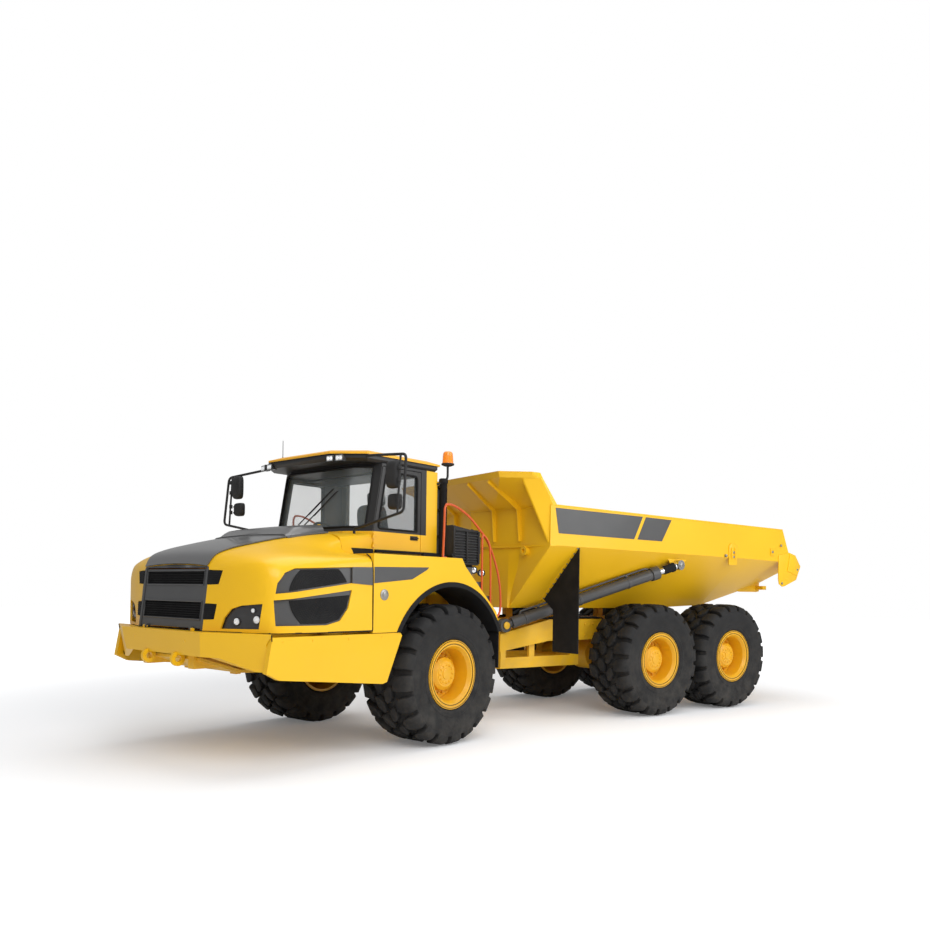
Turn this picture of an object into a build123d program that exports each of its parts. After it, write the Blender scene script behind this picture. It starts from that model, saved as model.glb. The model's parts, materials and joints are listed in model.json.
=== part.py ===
"""Articulated dump truck on three axles, in millimetres.

Both units are drawn straight ahead, with x forward from the steering hinge, y to the left and z up
from the ground. The front unit is then turned about the hinge to the angle at which the truck stands.
"""

from build123d import *
import os
from math import cos, radians, sin

os.makedirs("parts", exist_ok=True)

# Whole truck
HINGE_X = 1150.0  # the steering hinge, from the middle of the standing truck's outline
HINGE_Y = -390.0
STEER_REST = 13.7  # how far the front unit stands turned to the left, in degrees
TRACK = 2258.0
FRONT_AXLE_X = 1210.0
MIDDLE_AXLE_X = -2965.0
REAR_AXLE_X = -4635.0
RUNNING_GAP = 0.3
SEAT_GAP = 0.3

# Tyres and rims
TYRE_R = 800.0
TYRE_W = 740.0
TYRE_SIDES = 22
LUG_HEIGHT = 42.0
LUG_WIDTH = 112.0
RIM_R = 393.0
RIM_W = 668.0
RIM_DISH_R = 300.0
RIM_DISC_Y = 100.0  # outer face of the rim's disc, out from the wheel's middle plane
RIM_DISC_BACK_Y = 60.0
HUB_FACE_Y = 226.0
HUB_R = 195.0
AXLE_Z = TYRE_R

# Axles
AXLE_TUBE_R = 120.0
AXLE_DRUM_R = 235.0
AXLE_DRUM_W = 210.0
DIFF_R = 235.0
DIFF_W = 340.0

# Front frame and hinge
RAIL_OUT_Y = 480.0
RAIL_W = 100.0
RAIL_LOW_Z = 960.0
RAIL_HIGH_Z = 1270.0
RAIL_REAR_X = 690.0
RAIL_FRONT_X = 3880.0
NECK_Y = 230.0
NECK_REAR_X = 250.0
EAR_R = 150.0
EAR_T = 70.0
EAR_LOW_Z = 640.0
EAR_HIGH_Z = 1160.0
HINGE_PIN_R = 60.0
ROLL_Z = 930.0
ROLL_TUBE_R = 200.0
ROLL_FLANGE_R = 270.0
ROLL_HOUSING_R = 330.0
ROLL_HOUSING_X = -360.0
ROLL_HOUSING_L = 400.0

# Steering cylinders
STEER_Z = 926.0
STEER_BARREL_PIN = (950.0, 640.0)
STEER_ROD_PIN = (-120.0, 360.0)
STEER_BARREL_R = 45.0
STEER_BARREL_L = 740.0
STEER_ROD_L = 735.0
STEER_ROD_R = 26.0
STEER_EYE_R = 62.0
STEER_EYE_H = 76.0
STEER_PIN_R = 28.0
STEER_EAR_T = 40.0
STEER_EAR_GAP = 6.0

# Bumper, side panels and belly
BUMPER_FRONT_X = 3986.0
BUMPER_FLAT_Y = 745.0
BUMPER_TOP_Z = 1330.0
BUMPER_LOW_Z = 1102.0
BUMPER_LOW_X = 3932.0
BODY_SEAM_X = 3672.0
BODY_SIDE_Y = 1430.0
PANEL_TOP_Z = 1300.0
PANEL_REAR_TOP_X = 2000.0
PANEL_REAR_LOW_X = 2215.0
PANEL_LOW_Z = 775.0
PANEL_FRONT_LOW_Z = 975.0
PANEL_T = 60.0
PANEL_GAP = 8.0

# Hood
HOOD_REAR_X = 2440.0
HOOD_T = 36.0
HOOD_LOW_Z = 1334.0
HOOD_LEAN = 6.2  # the front face leans back, in degrees
HOOD_FRONT_X = 3872.0
HOOD_HINGE_X = 2400.0
HOOD_HINGE_Z = 2440.0
HOOD_PIN_R = 9.0
HOOD_EAR_R = 20.0
HOOD_EAR_Y = 480.0
HOOD_EAR_T = 24.0
GRILLE_HALF_W = 565.0
GRILLE_LOW_Z = 1356.0
GRILLE_HIGH_Z = 1940.0
GRILLE_T = 60.0
GRILLE_FRAME_W = 18.0
GRILLE_WINDOWS = ((1440.0, 1615.0), (1775.0, 1915.0))
GRILLE_WINDOW_DEPTH = 32.0
GRILLE_EAR_Y = 440.0
GRILLE_EAR_T = 30.0
GRILLE_PIN_R = 6.0
GRILLE_HINGE_X = 3885.0
GRILLE_HINGE_Z = 1345.0

# Fenders
FENDER_TOP_Z = 2125.0
FENDER_SIDE_Y = 1440.0
FENDER_T = 50.0
ARCH_R = 985.0
ARCH_Z = 865.0
ARCH_TRIM_W = 55.0
FENDER_REAR_X = 400.0

# Cab
CAB_HALF_W = 870.0
CAB_REAR_X = 870.0
CAB_FRONT_X = 1930.0
CAB_NOSE_X = 2100.0
CAB_NOSE_Y = 560.0
CAB_FLOOR_Z = 1700.0
CAB_BELT_Z = 2400.0
CAB_TOP_Z = 3180.0
CAB_T = 60.0
GLASS_T = 10.0
ROOF_TOP_Z = 3290.0
ROOF_VISOR_X = 2297.0
ROOF_VISOR_Y = 560.0
DOOR_REAR_X = 1150.0
DOOR_FRONT_X = 1922.0
DOOR_LOW_Z = 2170.0
DOOR_HIGH_Z = 3150.0
DOOR_T = 50.0
DOOR_GAP = 8.0
DOOR_HINGE_Y = 882.0
DOOR_HINGE_Z = (2225.0, 2325.0)
DOOR_PIN_R = 6.0

# Rear frame and bogie
REAR_RAIL_OUT_Y = 600.0
REAR_RAIL_W = 120.0
REAR_RAIL_LOW_Z = 1060.0
REAR_RAIL_HIGH_Z = 1360.0
REAR_RAIL_END_X = -5350.0
TIP_PIVOT_X = -5100.0
TIP_PIVOT_Z = 1500.0
TIP_PIN_R = 50.0
BOGIE_BEAM_Y = 675.0
BOGIE_BEAM_W = 110.0

# Dump body
BODY_HALF_W = 1465.0
BODY_FRONT_X = -830.0
BODY_CORNER_Y = 640.0
BODY_FLOOR_Z = 1520.0
BODY_WALL = 60.0
CANOPY_TOP_Z = 3270.0
CANOPY_FRONT_X = -200.0

# Hoist cylinders
HOIST_LOW_PIN = (-770.0, 620.0, 1290.0)
HOIST_HIGH_PIN = (-3360.0, 1440.0, 2170.0)
HOIST_BARREL_R = 80.0
HOIST_BARREL_L = 2480.0
HOIST_ROD_R = 48.0
HOIST_BALL_R = 62.0
HOIST_EYE_R = 92.0
HOIST_ROD_EYE_R = 72.0
HOIST_PIN_R = 26.0
HOIST_NECK_R = 45.0
HOIST_NECK_L = 112.0
HOIST_EYE_W = 90.0

REAR = Location((HINGE_X, HINGE_Y, 0))
FRONT = REAR * Location((0, 0, 0), (0, 0, STEER_REST))


def keep(piece, label, place):
    """Label a finished piece, put it where it stands on the truck and write its file."""
    piece.part.label = label
    export_step(piece.part.moved(place), f"parts/{label}.step")


def face_of(points, plane):
    """The flat face inside a closed outline of straight runs on a plane."""
    with BuildSketch(plane) as drawn:
        with BuildLine():
            Polyline(*points, close=True)
        make_face()
    return drawn.sketch


def side_plate(points, low_y, high_y, mode=Mode.ADD):
    """A plate seen from the side, from its x and z corners."""
    plane = Plane(origin=(0, high_y, 0), x_dir=(1, 0, 0), z_dir=(0, -1, 0))
    extrude(face_of(points, plane), amount=high_y - low_y, mode=mode)


def plan_plate(points, low_z, high_z, mode=Mode.ADD):
    """A plate seen from above, from its x and y corners."""
    extrude(face_of(points, Plane.XY.offset(low_z)), amount=high_z - low_z, mode=mode)


def cross_plate(points, low_x, high_x, mode=Mode.ADD):
    """A plate seen from the front, from its y and z corners."""
    extrude(face_of(points, Plane.YZ.offset(low_x)), amount=high_x - low_x, mode=mode)


def block(x, y, z, mode=Mode.ADD):
    """A box from its low and high x, y and z."""
    with Locations(((x[0] + x[1]) / 2, (y[0] + y[1]) / 2, (z[0] + z[1]) / 2)):
        Box(x[1] - x[0], y[1] - y[0], z[1] - z[0], mode=mode)


def rod(start, end, radius, mode=Mode.ADD):
    """A round bar between two points."""
    run = Vector(*end) - Vector(*start)
    with BuildSketch(Plane(origin=start, z_dir=run)) as drawn:
        Circle(radius)
    extrude(drawn.sketch, amount=run.length, mode=mode)


def bent_pipe(points, radius, bend):
    """A pipe through the points, with an arc of one radius at each corner."""
    with BuildLine() as route:
        FilletPolyline(*points, radius=bend)
    with BuildSketch(Plane(origin=route.line @ 0, z_dir=route.line % 0)) as drawn:
        Circle(radius)
    sweep(drawn.sketch, path=route.line)


def both(points):
    """The corners of a left half, with their mirror on the right, as one closed outline."""
    return list(points) + [(x, -y) for x, y in reversed(points) if y > 0]


def both_sides(points):
    """As both, for a half outline given as y and z."""
    return list(points) + [(-y, z) for y, z in reversed(points) if y > 0]


def regular(radius, turn=0.0):
    """Corners of a tyre's outline: a regular ring of straight runs."""
    step = 360.0 / TYRE_SIDES
    return [
        (radius * cos(radians(turn + step * i)), radius * sin(radians(turn + step * i)))
        for i in range(TYRE_SIDES)
    ]


# Tyre: half width and radius of each ring, from bead to bead
TREAD_R = TYRE_R - LUG_HEIGHT
TYRE_RINGS = (
    # out from the middle, radius
    (-0.450 * TYRE_W, 0.515 * TYRE_R),
    (-0.500 * TYRE_W, 0.700 * TYRE_R),
    (-0.485 * TYRE_W, 0.860 * TYRE_R),
    (-0.400 * TYRE_W, TREAD_R),
    (0.400 * TYRE_W, TREAD_R),
    (0.485 * TYRE_W, 0.860 * TYRE_R),
    (0.500 * TYRE_W, 0.700 * TYRE_R),
    (0.450 * TYRE_W, 0.515 * TYRE_R),
)
WHEEL_PLANE = Plane(origin=(0, 0, 0), x_dir=(1, 0, 0), z_dir=(0, 1, 0))
LUG_STEP = 360.0 / TYRE_SIDES

with BuildPart() as tyre:
    turn = 90 - LUG_STEP / 2
    rings = [face_of(regular(radius, turn), WHEEL_PLANE.offset(out)) for out, radius in TYRE_RINGS]
    loft(rings, ruled=True)
    with BuildSketch(WHEEL_PLANE.offset(-TYRE_W)):
        RegularPolygon(RIM_R + SEAT_GAP, TYRE_SIDES, major_radius=False)
    extrude(amount=2 * TYRE_W, mode=Mode.SUBTRACT)
    for side in (-1, 1):
        lug_low, lug_out = TREAD_R - 60, side * 0.497 * TYRE_W
        lug = (
            (side * 0.03 * TYRE_W, lug_low),
            (side * 0.03 * TYRE_W, TYRE_R),
            (side * 0.41 * TYRE_W, TYRE_R),
            (lug_out, 0.885 * TYRE_R),
            (lug_out, 0.830 * TYRE_R),
            (side * 0.40 * TYRE_W, 0.830 * TYRE_R),
        )
        for i in range(TYRE_SIDES):
            turn = (i + (0.25 if side > 0 else -0.25)) * LUG_STEP
            across = Vector(sin(radians(turn)), 0, cos(radians(turn)))
            along = Vector(cos(radians(turn)), 0, -sin(radians(turn)))
            start = along * (-LUG_WIDTH / 2)
            extrude(face_of(lug, Plane(origin=start, x_dir=(0, 1, 0), z_dir=along)), amount=LUG_WIDTH)

# Rim: radius and distance out, round the section
RIM_SECTION = (
    (0, HUB_FACE_Y),
    (0.75 * HUB_R, HUB_FACE_Y),
    (0.96 * HUB_R, HUB_FACE_Y - 30),
    (HUB_R, RIM_DISC_Y),
    (RIM_DISH_R - 15, RIM_DISC_Y),
    (RIM_DISH_R, RIM_W / 2 - 44),
    (RIM_DISH_R + 26, RIM_W / 2 - 4),
    (RIM_R, RIM_W / 2),
    (RIM_R, -RIM_W / 2),
    (RIM_R - 30, -RIM_W / 2),
    (RIM_R - 42, RIM_DISC_BACK_Y - 40),
    (RIM_R - 70, RIM_DISC_BACK_Y),
    (0, RIM_DISC_BACK_Y),
)
with BuildPart() as rim:
    with BuildSketch(Plane.XY):
        with BuildLine():
            Polyline(*RIM_SECTION, close=True)
        make_face()
    revolve(axis=Axis.Y)

WHEELS = (
    # name, axle, side, unit
    ("front_left", FRONT_AXLE_X, 1, FRONT),
    ("front_right", FRONT_AXLE_X, -1, FRONT),
    ("middle_left", MIDDLE_AXLE_X, 1, REAR),
    ("middle_right", MIDDLE_AXLE_X, -1, REAR),
    ("rear_left", REAR_AXLE_X, 1, REAR),
    ("rear_right", REAR_AXLE_X, -1, REAR),
)
for name, axle_x, side, unit in WHEELS:
    seat = unit * Location((axle_x, side * TRACK / 2, AXLE_Z), (0, 0, 0 if side > 0 else 180))
    keep(tyre, f"tyre_{name}", seat)
    keep(rim, f"rim_{name}", seat)

AXLE_END_Y = TRACK / 2 + RIM_DISC_BACK_Y - RUNNING_GAP


def axle(x):
    """An axle housing with its differential and the drums that carry its two wheels."""
    rod((x, -AXLE_END_Y, AXLE_Z), (x, AXLE_END_Y, AXLE_Z), AXLE_TUBE_R)
    rod((x, -DIFF_W / 2, AXLE_Z), (x, DIFF_W / 2, AXLE_Z), DIFF_R)
    for side in (-1, 1):
        inner = (x, side * (AXLE_END_Y - AXLE_DRUM_W), AXLE_Z)
        rod(inner, (x, side * AXLE_END_Y, AXLE_Z), AXLE_DRUM_R)


AXLE_SADDLE_X = 180.0
with BuildPart() as front_axle:
    axle(FRONT_AXLE_X)
    for side in (-1, 1):
        middle = side * (RAIL_OUT_Y - RAIL_W / 2)
        block(
            (FRONT_AXLE_X - AXLE_SADDLE_X / 2, FRONT_AXLE_X + AXLE_SADDLE_X / 2),
            (middle - RAIL_W / 2, middle + RAIL_W / 2),
            (AXLE_Z, RAIL_LOW_Z),
        )
keep(front_axle, "front_axle", FRONT)

BOGIE_MIDDLE_X = (MIDDLE_AXLE_X + REAR_AXLE_X) / 2
BEAM_OUTLINE = (
    # x, z
    (MIDDLE_AXLE_X + 150, AXLE_Z - 110),
    (MIDDLE_AXLE_X + 150, AXLE_Z + 90),
    (BOGIE_MIDDLE_X + 260, AXLE_Z + 190),
    (BOGIE_MIDDLE_X - 260, AXLE_Z + 190),
    (REAR_AXLE_X - 150, AXLE_Z + 90),
    (REAR_AXLE_X - 150, AXLE_Z - 110),
    (BOGIE_MIDDLE_X - 260, AXLE_Z - 150),
    (BOGIE_MIDDLE_X + 260, AXLE_Z - 150),
)
BOGIE_PIVOT_R = 110.0
with BuildPart() as bogie:
    axle(MIDDLE_AXLE_X)
    axle(REAR_AXLE_X)
    for side in (-1, 1):
        y = sorted((side * (BOGIE_BEAM_Y - BOGIE_BEAM_W / 2), side * (BOGIE_BEAM_Y + BOGIE_BEAM_W / 2)))
        side_plate(BEAM_OUTLINE, *y)
    pivot_y = BOGIE_BEAM_Y + BOGIE_BEAM_W / 2
    rod((BOGIE_MIDDLE_X, -pivot_y, AXLE_Z), (BOGIE_MIDDLE_X, pivot_y, AXLE_Z), BOGIE_PIVOT_R)
keep(bogie, "bogie", REAR)

# Front frame: two rails, cross plates, the neck with the hinge's ears, and the cylinders' brackets
STEER_FORK_T = 30.0
STEER_FORK_GAP = 4.0
STEER_BRACKET_W = 90.0
BELLY_OUTLINE = (
    # x, z
    (3852, 1074),
    (3852, 1046),
    (3420, 900),
    (2500, 860),
    (2500, 890),
    (3400, 930),
)
BELLY_HALF_W = 560.0
CAB_MOUNT_X = (1000.0, 1820.0)
with BuildPart() as front_frame:
    for side in (-1, 1):
        y = sorted((side * (RAIL_OUT_Y - RAIL_W), side * RAIL_OUT_Y))
        block((RAIL_REAR_X, RAIL_FRONT_X), y, (RAIL_LOW_Z, RAIL_HIGH_Z))
        pin_x, pin_y = STEER_BARREL_PIN[0], side * STEER_BARREL_PIN[1]
        half_eye = STEER_EYE_H / 2 + STEER_FORK_GAP
        for low in (STEER_Z - half_eye - STEER_FORK_T, STEER_Z + half_eye):
            y = sorted((side * (RAIL_OUT_Y - RAIL_W), pin_y + side * STEER_BRACKET_W / 2))
            x = (pin_x - STEER_BRACKET_W / 2, pin_x + STEER_BRACKET_W / 2)
            block(x, y, (low, low + STEER_FORK_T))
        y = sorted((side * (RAIL_OUT_Y - RAIL_W), side * RAIL_OUT_Y))
        low = STEER_Z - half_eye - STEER_FORK_T
        block((pin_x - STEER_BRACKET_W / 2, pin_x + STEER_BRACKET_W / 2), y, (low, RAIL_LOW_Z))
        rod((pin_x, pin_y, low), (pin_x, pin_y, STEER_Z + half_eye + STEER_FORK_T), STEER_PIN_R)
    for x in (RAIL_REAR_X, 1900.0, 2650.0, 3600.0):
        cross_y = (-(RAIL_OUT_Y - RAIL_W), RAIL_OUT_Y - RAIL_W)
        block((x, x + 80), cross_y, (RAIL_LOW_Z + 40, RAIL_HIGH_Z - 40))
    block((NECK_REAR_X, RAIL_REAR_X + 80), (-NECK_Y, NECK_Y), (EAR_LOW_Z, EAR_HIGH_Z + EAR_T))
    for low in (EAR_LOW_Z, EAR_HIGH_Z):
        block((0, NECK_REAR_X), (-EAR_R, EAR_R), (low, low + EAR_T))
        with Locations((0, 0, low + EAR_T / 2)):
            Cylinder(EAR_R, EAR_T)
            Cylinder(HINGE_PIN_R + RUNNING_GAP, EAR_T, mode=Mode.SUBTRACT)
    side_plate(BELLY_OUTLINE, -BELLY_HALF_W, BELLY_HALF_W)
    for x in CAB_MOUNT_X:
        for side in (-1, 1):
            y = sorted((side * (RAIL_OUT_Y - RAIL_W), side * RAIL_OUT_Y))
            block((x - 50, x + 50), y, (RAIL_HIGH_Z, CAB_FLOOR_Z - SEAT_GAP))
    for x in (2650.0, 3350.0):
        for side in (-1, 1):
            y = sorted((side * (RAIL_OUT_Y - RAIL_W), side * RAIL_OUT_Y))
            block((x, x + 60), y, (880, RAIL_LOW_Z))
keep(front_frame, "front_frame", FRONT)

# Hitch: the casting on the hinge pins, its ears for the steering rods, and the tube in the rear frame
HITCH_LOW_Z = EAR_LOW_Z + EAR_T + RUNNING_GAP
HITCH_HIGH_Z = EAR_HIGH_Z - RUNNING_GAP
STEER_EAR_TOP_Z = STEER_Z - STEER_EYE_H / 2 - STEER_EAR_GAP
with BuildPart() as hitch:
    with Locations((0, 0, (HITCH_LOW_Z + HITCH_HIGH_Z) / 2)):
        Cylinder(EAR_R - 20, HITCH_HIGH_Z - HITCH_LOW_Z)
    with Locations((0, 0, (EAR_LOW_Z + EAR_HIGH_Z + EAR_T) / 2)):
        Cylinder(HINGE_PIN_R, EAR_HIGH_Z + EAR_T - EAR_LOW_Z + 40)
    block((ROLL_HOUSING_X + 60, 0), (-EAR_R + 40, EAR_R - 40), (HITCH_LOW_Z + 20, HITCH_HIGH_Z - 20))
    rod((ROLL_HOUSING_X + RUNNING_GAP, 0, ROLL_Z), (ROLL_HOUSING_X + 70, 0, ROLL_Z), ROLL_FLANGE_R)
    rod((ROLL_HOUSING_X - ROLL_HOUSING_L, 0, ROLL_Z), (ROLL_HOUSING_X + 70, 0, ROLL_Z), ROLL_TUBE_R)
    ear_x, ear_y = STEER_ROD_PIN
    ear = ((ear_x + 80, 60), (ear_x + 60, ear_y + 60), (ear_x - 60, ear_y + 60), (ear_x - 110, 60))
    plan_plate(both(ear), STEER_EAR_TOP_Z - STEER_EAR_T, STEER_EAR_TOP_Z)
keep(hitch, "hitch", REAR)

# Steering cylinders: the barrel turns on the front frame's pin, and its rod runs to the hitch's ear
for name, side in (("left", 1), ("right", -1)):
    barrel_pin = Vector(STEER_BARREL_PIN[0], side * STEER_BARREL_PIN[1], STEER_Z)
    ear_pin = Vector(STEER_ROD_PIN[0], side * STEER_ROD_PIN[1], STEER_Z)
    ear_pin = ear_pin.rotate(Axis.Z, -STEER_REST)
    run = (ear_pin - barrel_pin).normalized()
    foot = barrel_pin + run * STEER_EYE_R * 0.6
    mouth = barrel_pin + run * STEER_BARREL_L
    with BuildPart() as steering_barrel:
        rod(foot, mouth, STEER_ROD_R + 10)
        rod(barrel_pin + run * (STEER_BRACKET_W / 2 + 32), mouth, STEER_BARREL_R)
        with Locations(barrel_pin):
            Cylinder(STEER_EYE_R, STEER_EYE_H)
            Cylinder(STEER_PIN_R + RUNNING_GAP, STEER_EYE_H, mode=Mode.SUBTRACT)
        bottom = barrel_pin + run * (STEER_EYE_R + 10)
        rod(bottom, mouth + run * 10, STEER_ROD_R + RUNNING_GAP, mode=Mode.SUBTRACT)
    keep(steering_barrel, f"steering_barrel_{name}", FRONT)
    with BuildPart() as steering_rod:
        rod(ear_pin - run * STEER_ROD_L, ear_pin - run * STEER_EYE_R * 0.6, STEER_ROD_R)
        with Locations(ear_pin):
            Cylinder(STEER_EYE_R, STEER_EYE_H)
            Cylinder(STEER_PIN_R, STEER_EYE_H + 2 * (STEER_EAR_GAP - 1))
    keep(steering_rod, f"steering_rod_{name}", FRONT)

# Bumper: flat in front, swept back to the side panels, its face leaning in towards the bottom
BUMPER_T = 70.0
BUMPER_TOP = both([(BODY_SEAM_X, BODY_SIDE_Y), (BUMPER_FRONT_X, BUMPER_FLAT_Y)])
BUMPER_LOW = both([(BODY_SEAM_X - 54, BODY_SIDE_Y - 30), (BUMPER_LOW_X, BUMPER_FLAT_Y - 60)])
TOW_EYE_X = 3935.0
TOW_EYE_Y = 278.0
TOW_EYE_Z = 1052.0
TOW_EYE_R = 72.0
TOW_EYE_BORE_R = 32.0
TOW_EYE_T = 36.0
with BuildPart() as bumper:
    top_face = face_of(BUMPER_TOP, Plane.XY.offset(BUMPER_TOP_Z))
    loft([face_of(BUMPER_LOW, Plane.XY.offset(PANEL_FRONT_LOW_Z)), top_face], ruled=True)
    # the lower edge drops from the front corners to the side panels
    for side in (-1, 1):
        y = sorted((side * (BODY_SIDE_Y + 50), 0))
        side_plate(
            ((BODY_SEAM_X - 100, 900), (4100, 900), (4100, BUMPER_LOW_Z), (3870, BUMPER_LOW_Z - 10)),
            *y, mode=Mode.SUBTRACT,
        )
    # hollow behind its face
    inner = both([(BODY_SEAM_X - 140, BODY_SIDE_Y - BUMPER_T), (BODY_SEAM_X - 60, BODY_SIDE_Y - BUMPER_T),
                  (RAIL_FRONT_X + SEAT_GAP, BUMPER_FLAT_Y - BUMPER_T)])
    plan_plate(inner, 800, BUMPER_TOP_Z - 30, mode=Mode.SUBTRACT)
    # clear of the side panels' front edge
    for side in (-1, 1):
        y = sorted((side * (BODY_SIDE_Y - PANEL_T - PANEL_GAP), side * (BODY_SIDE_Y + 50)))
        side_plate(
            ((BODY_SEAM_X + 1, PANEL_TOP_Z + 3), (BODY_SEAM_X + 61, PANEL_FRONT_LOW_Z - 60),
             (BODY_SEAM_X - 300, PANEL_FRONT_LOW_Z - 60), (BODY_SEAM_X - 300, PANEL_TOP_Z + 3)),
            *y, mode=Mode.SUBTRACT,
        )
    for side in (-1, 1):
        y = (side * TOW_EYE_Y - TOW_EYE_T / 2, side * TOW_EYE_Y + TOW_EYE_T / 2)
        rod((TOW_EYE_X, y[0], TOW_EYE_Z), (TOW_EYE_X, y[1], TOW_EYE_Z), TOW_EYE_R)
        block((RAIL_FRONT_X + 6, TOW_EYE_X), y, (TOW_EYE_Z, BUMPER_LOW_Z + 60))
        rod((TOW_EYE_X, y[0], TOW_EYE_Z), (TOW_EYE_X, y[1], TOW_EYE_Z), TOW_EYE_BORE_R, Mode.SUBTRACT)
        beam_y = sorted((side * (RAIL_OUT_Y - RAIL_W), side * RAIL_OUT_Y))
        block((RAIL_FRONT_X + SEAT_GAP, BUMPER_LOW_X), beam_y, (BUMPER_LOW_Z, RAIL_HIGH_Z))
        ear_y = sorted((side * GRILLE_EAR_Y, side * (GRILLE_EAR_Y + GRILLE_EAR_T)))
        rod((GRILLE_HINGE_X, ear_y[0], GRILLE_HINGE_Z), (GRILLE_HINGE_X, ear_y[1], GRILLE_HINGE_Z), 14)
        block((GRILLE_HINGE_X - 14, GRILLE_HINGE_X + 14), ear_y, (BUMPER_TOP_Z - 10, GRILLE_HINGE_Z))
        pin_y = (side * (GRILLE_EAR_Y - GRILLE_EAR_T - 4), side * GRILLE_EAR_Y)
        pin = [(GRILLE_HINGE_X, y, GRILLE_HINGE_Z) for y in pin_y]
        rod(*pin, GRILLE_PIN_R)
keep(bumper, "bumper", FRONT)

PANEL_OUTLINE = (
    # x, z
    (BODY_SEAM_X - PANEL_GAP, PANEL_TOP_Z),
    (BODY_SEAM_X - PANEL_GAP + 60, PANEL_FRONT_LOW_Z),
    (BODY_SEAM_X - 90, 905),
    (PANEL_REAR_LOW_X + 60, PANEL_LOW_Z),
    (PANEL_REAR_LOW_X, PANEL_LOW_Z + 15),
    (PANEL_REAR_TOP_X, PANEL_TOP_Z - 30),
    (PANEL_REAR_TOP_X + 30, PANEL_TOP_Z),
)
with BuildPart() as side_panels:
    for side in (-1, 1):
        side_plate(PANEL_OUTLINE, *sorted((side * (BODY_SIDE_Y - PANEL_T), side * BODY_SIDE_Y)))
        # brackets that hold the panel on the frame's rail
        for x in (2400.0, 3450.0):
            y = sorted((side * (RAIL_OUT_Y + SEAT_GAP), side * (BODY_SIDE_Y - PANEL_T)))
            block((x, x + 60), y, (1120, 1220))
keep(side_panels, "side_panels", FRONT)

ENGINE = ((2780.0, 3560.0), (-360.0, 360.0), (1000.0, 1900.0))
ENGINE_MOUNT_L = 90.0
with BuildPart() as engine:
    block(*ENGINE)
    mount_y = (-RAIL_OUT_Y, RAIL_OUT_Y)
    mount_z = (RAIL_HIGH_Z + SEAT_GAP, RAIL_HIGH_Z + 60)
    block((ENGINE[0][0], ENGINE[0][0] + ENGINE_MOUNT_L), mount_y, mount_z)
keep(engine, "engine", FRONT)

# Hood: half sections from front to back. Each row is a station's x, then y and z of the lower edge,
# the side's top, the bevel, the foot of the raised middle, its rise, the dark panel's edge and the crown
HOOD_STATIONS = (
    (3735, (985, 1334), (975, 1880), (880, 1970), (800, 2000), (700, 2030), (600, 2058), (0, 2075)),
    (3600, (1300, 1334), (1285, 1905), (1130, 2010), (1000, 2050), (800, 2092), (610, 2122), (0, 2140)),
    (3350, (1385, 1334), (1370, 1940), (1210, 2060), (1040, 2100), (850, 2155), (635, 2190), (0, 2212)),
    (2900, (1425, 1334), (1415, 1970), (1270, 2100), (1010, 2150), (900, 2235), (675, 2285), (0, 2312)),
    (HOOD_REAR_X,
     (1438, 1334), (1430, 1990), (1330, 2108), (960, 2150), (905, 2300), (730, 2350), (0, 2378)),
)
HOOD_FACE = ((600, 0), (608, 545), (608, 585), (604, 597), (598, 610), (580, 625), (0, 650))
FACE_PLANE = Plane(
    origin=(HOOD_FRONT_X, 0, HOOD_LOW_Z),
    x_dir=(0, 1, 0),
    z_dir=(cos(radians(HOOD_LEAN)), 0, sin(radians(HOOD_LEAN))),
)


def hood_loft(inset, front_back, rear_x, mode):
    """The hood's form, drawn in by an even inset, from its face to its rear edge."""
    face = [(max(y - inset, 0), z - inset if z > 0 else z - 2 * inset) for y, z in HOOD_FACE]
    sections = [face_of(both_sides(face), FACE_PLANE.offset(-front_back))]
    for x, *half in HOOD_STATIONS:
        x = rear_x if x == HOOD_REAR_X else x - front_back
        lower = [(max(y - inset, 0), z - inset if z > HOOD_LOW_Z else z - 2 * inset) for y, z in half]
        sections.append(face_of(both_sides(lower), Plane.YZ.offset(x)))
    loft(sections, ruled=True, mode=mode)


SIDE_WINDOW_UPPER = (
    # x, z
    (3560, 1700), (3545, 1800), (3470, 1900), (3360, 1945), (2700, 1975), (2700, 1815), (3400, 1715),
)
SIDE_WINDOW_LOWER = (
    (3575, 1640), (3560, 1400), (3020, 1400), (2860, 1440), (2760, 1560), (2710, 1745), (3400, 1655),
)
SIDE_WINDOW_IN_Y = 1200.0
SCOOP_HALF_W = 620.0
SCOOP_OUTLINE = (
    # x, z
    (HOOD_REAR_X, HOOD_HINGE_Z),
    (HOOD_REAR_X, 2340),
    (2830, 2290),
    (2830, 2370),
    (2790, 2392),
)
CHEEK_SLOTS = (
    # y, z
    ((602, 1922), (790, 1916), (750, 1782), (602, 1777)),
    ((612, 1600), (745, 1596), (722, 1448), (612, 1442)),
)
LAMP_OPENING = ((800, 1362), (834, 1465), (910, 1552), (1017, 1585), (1237, 1606), (1206, 1368))
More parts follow.
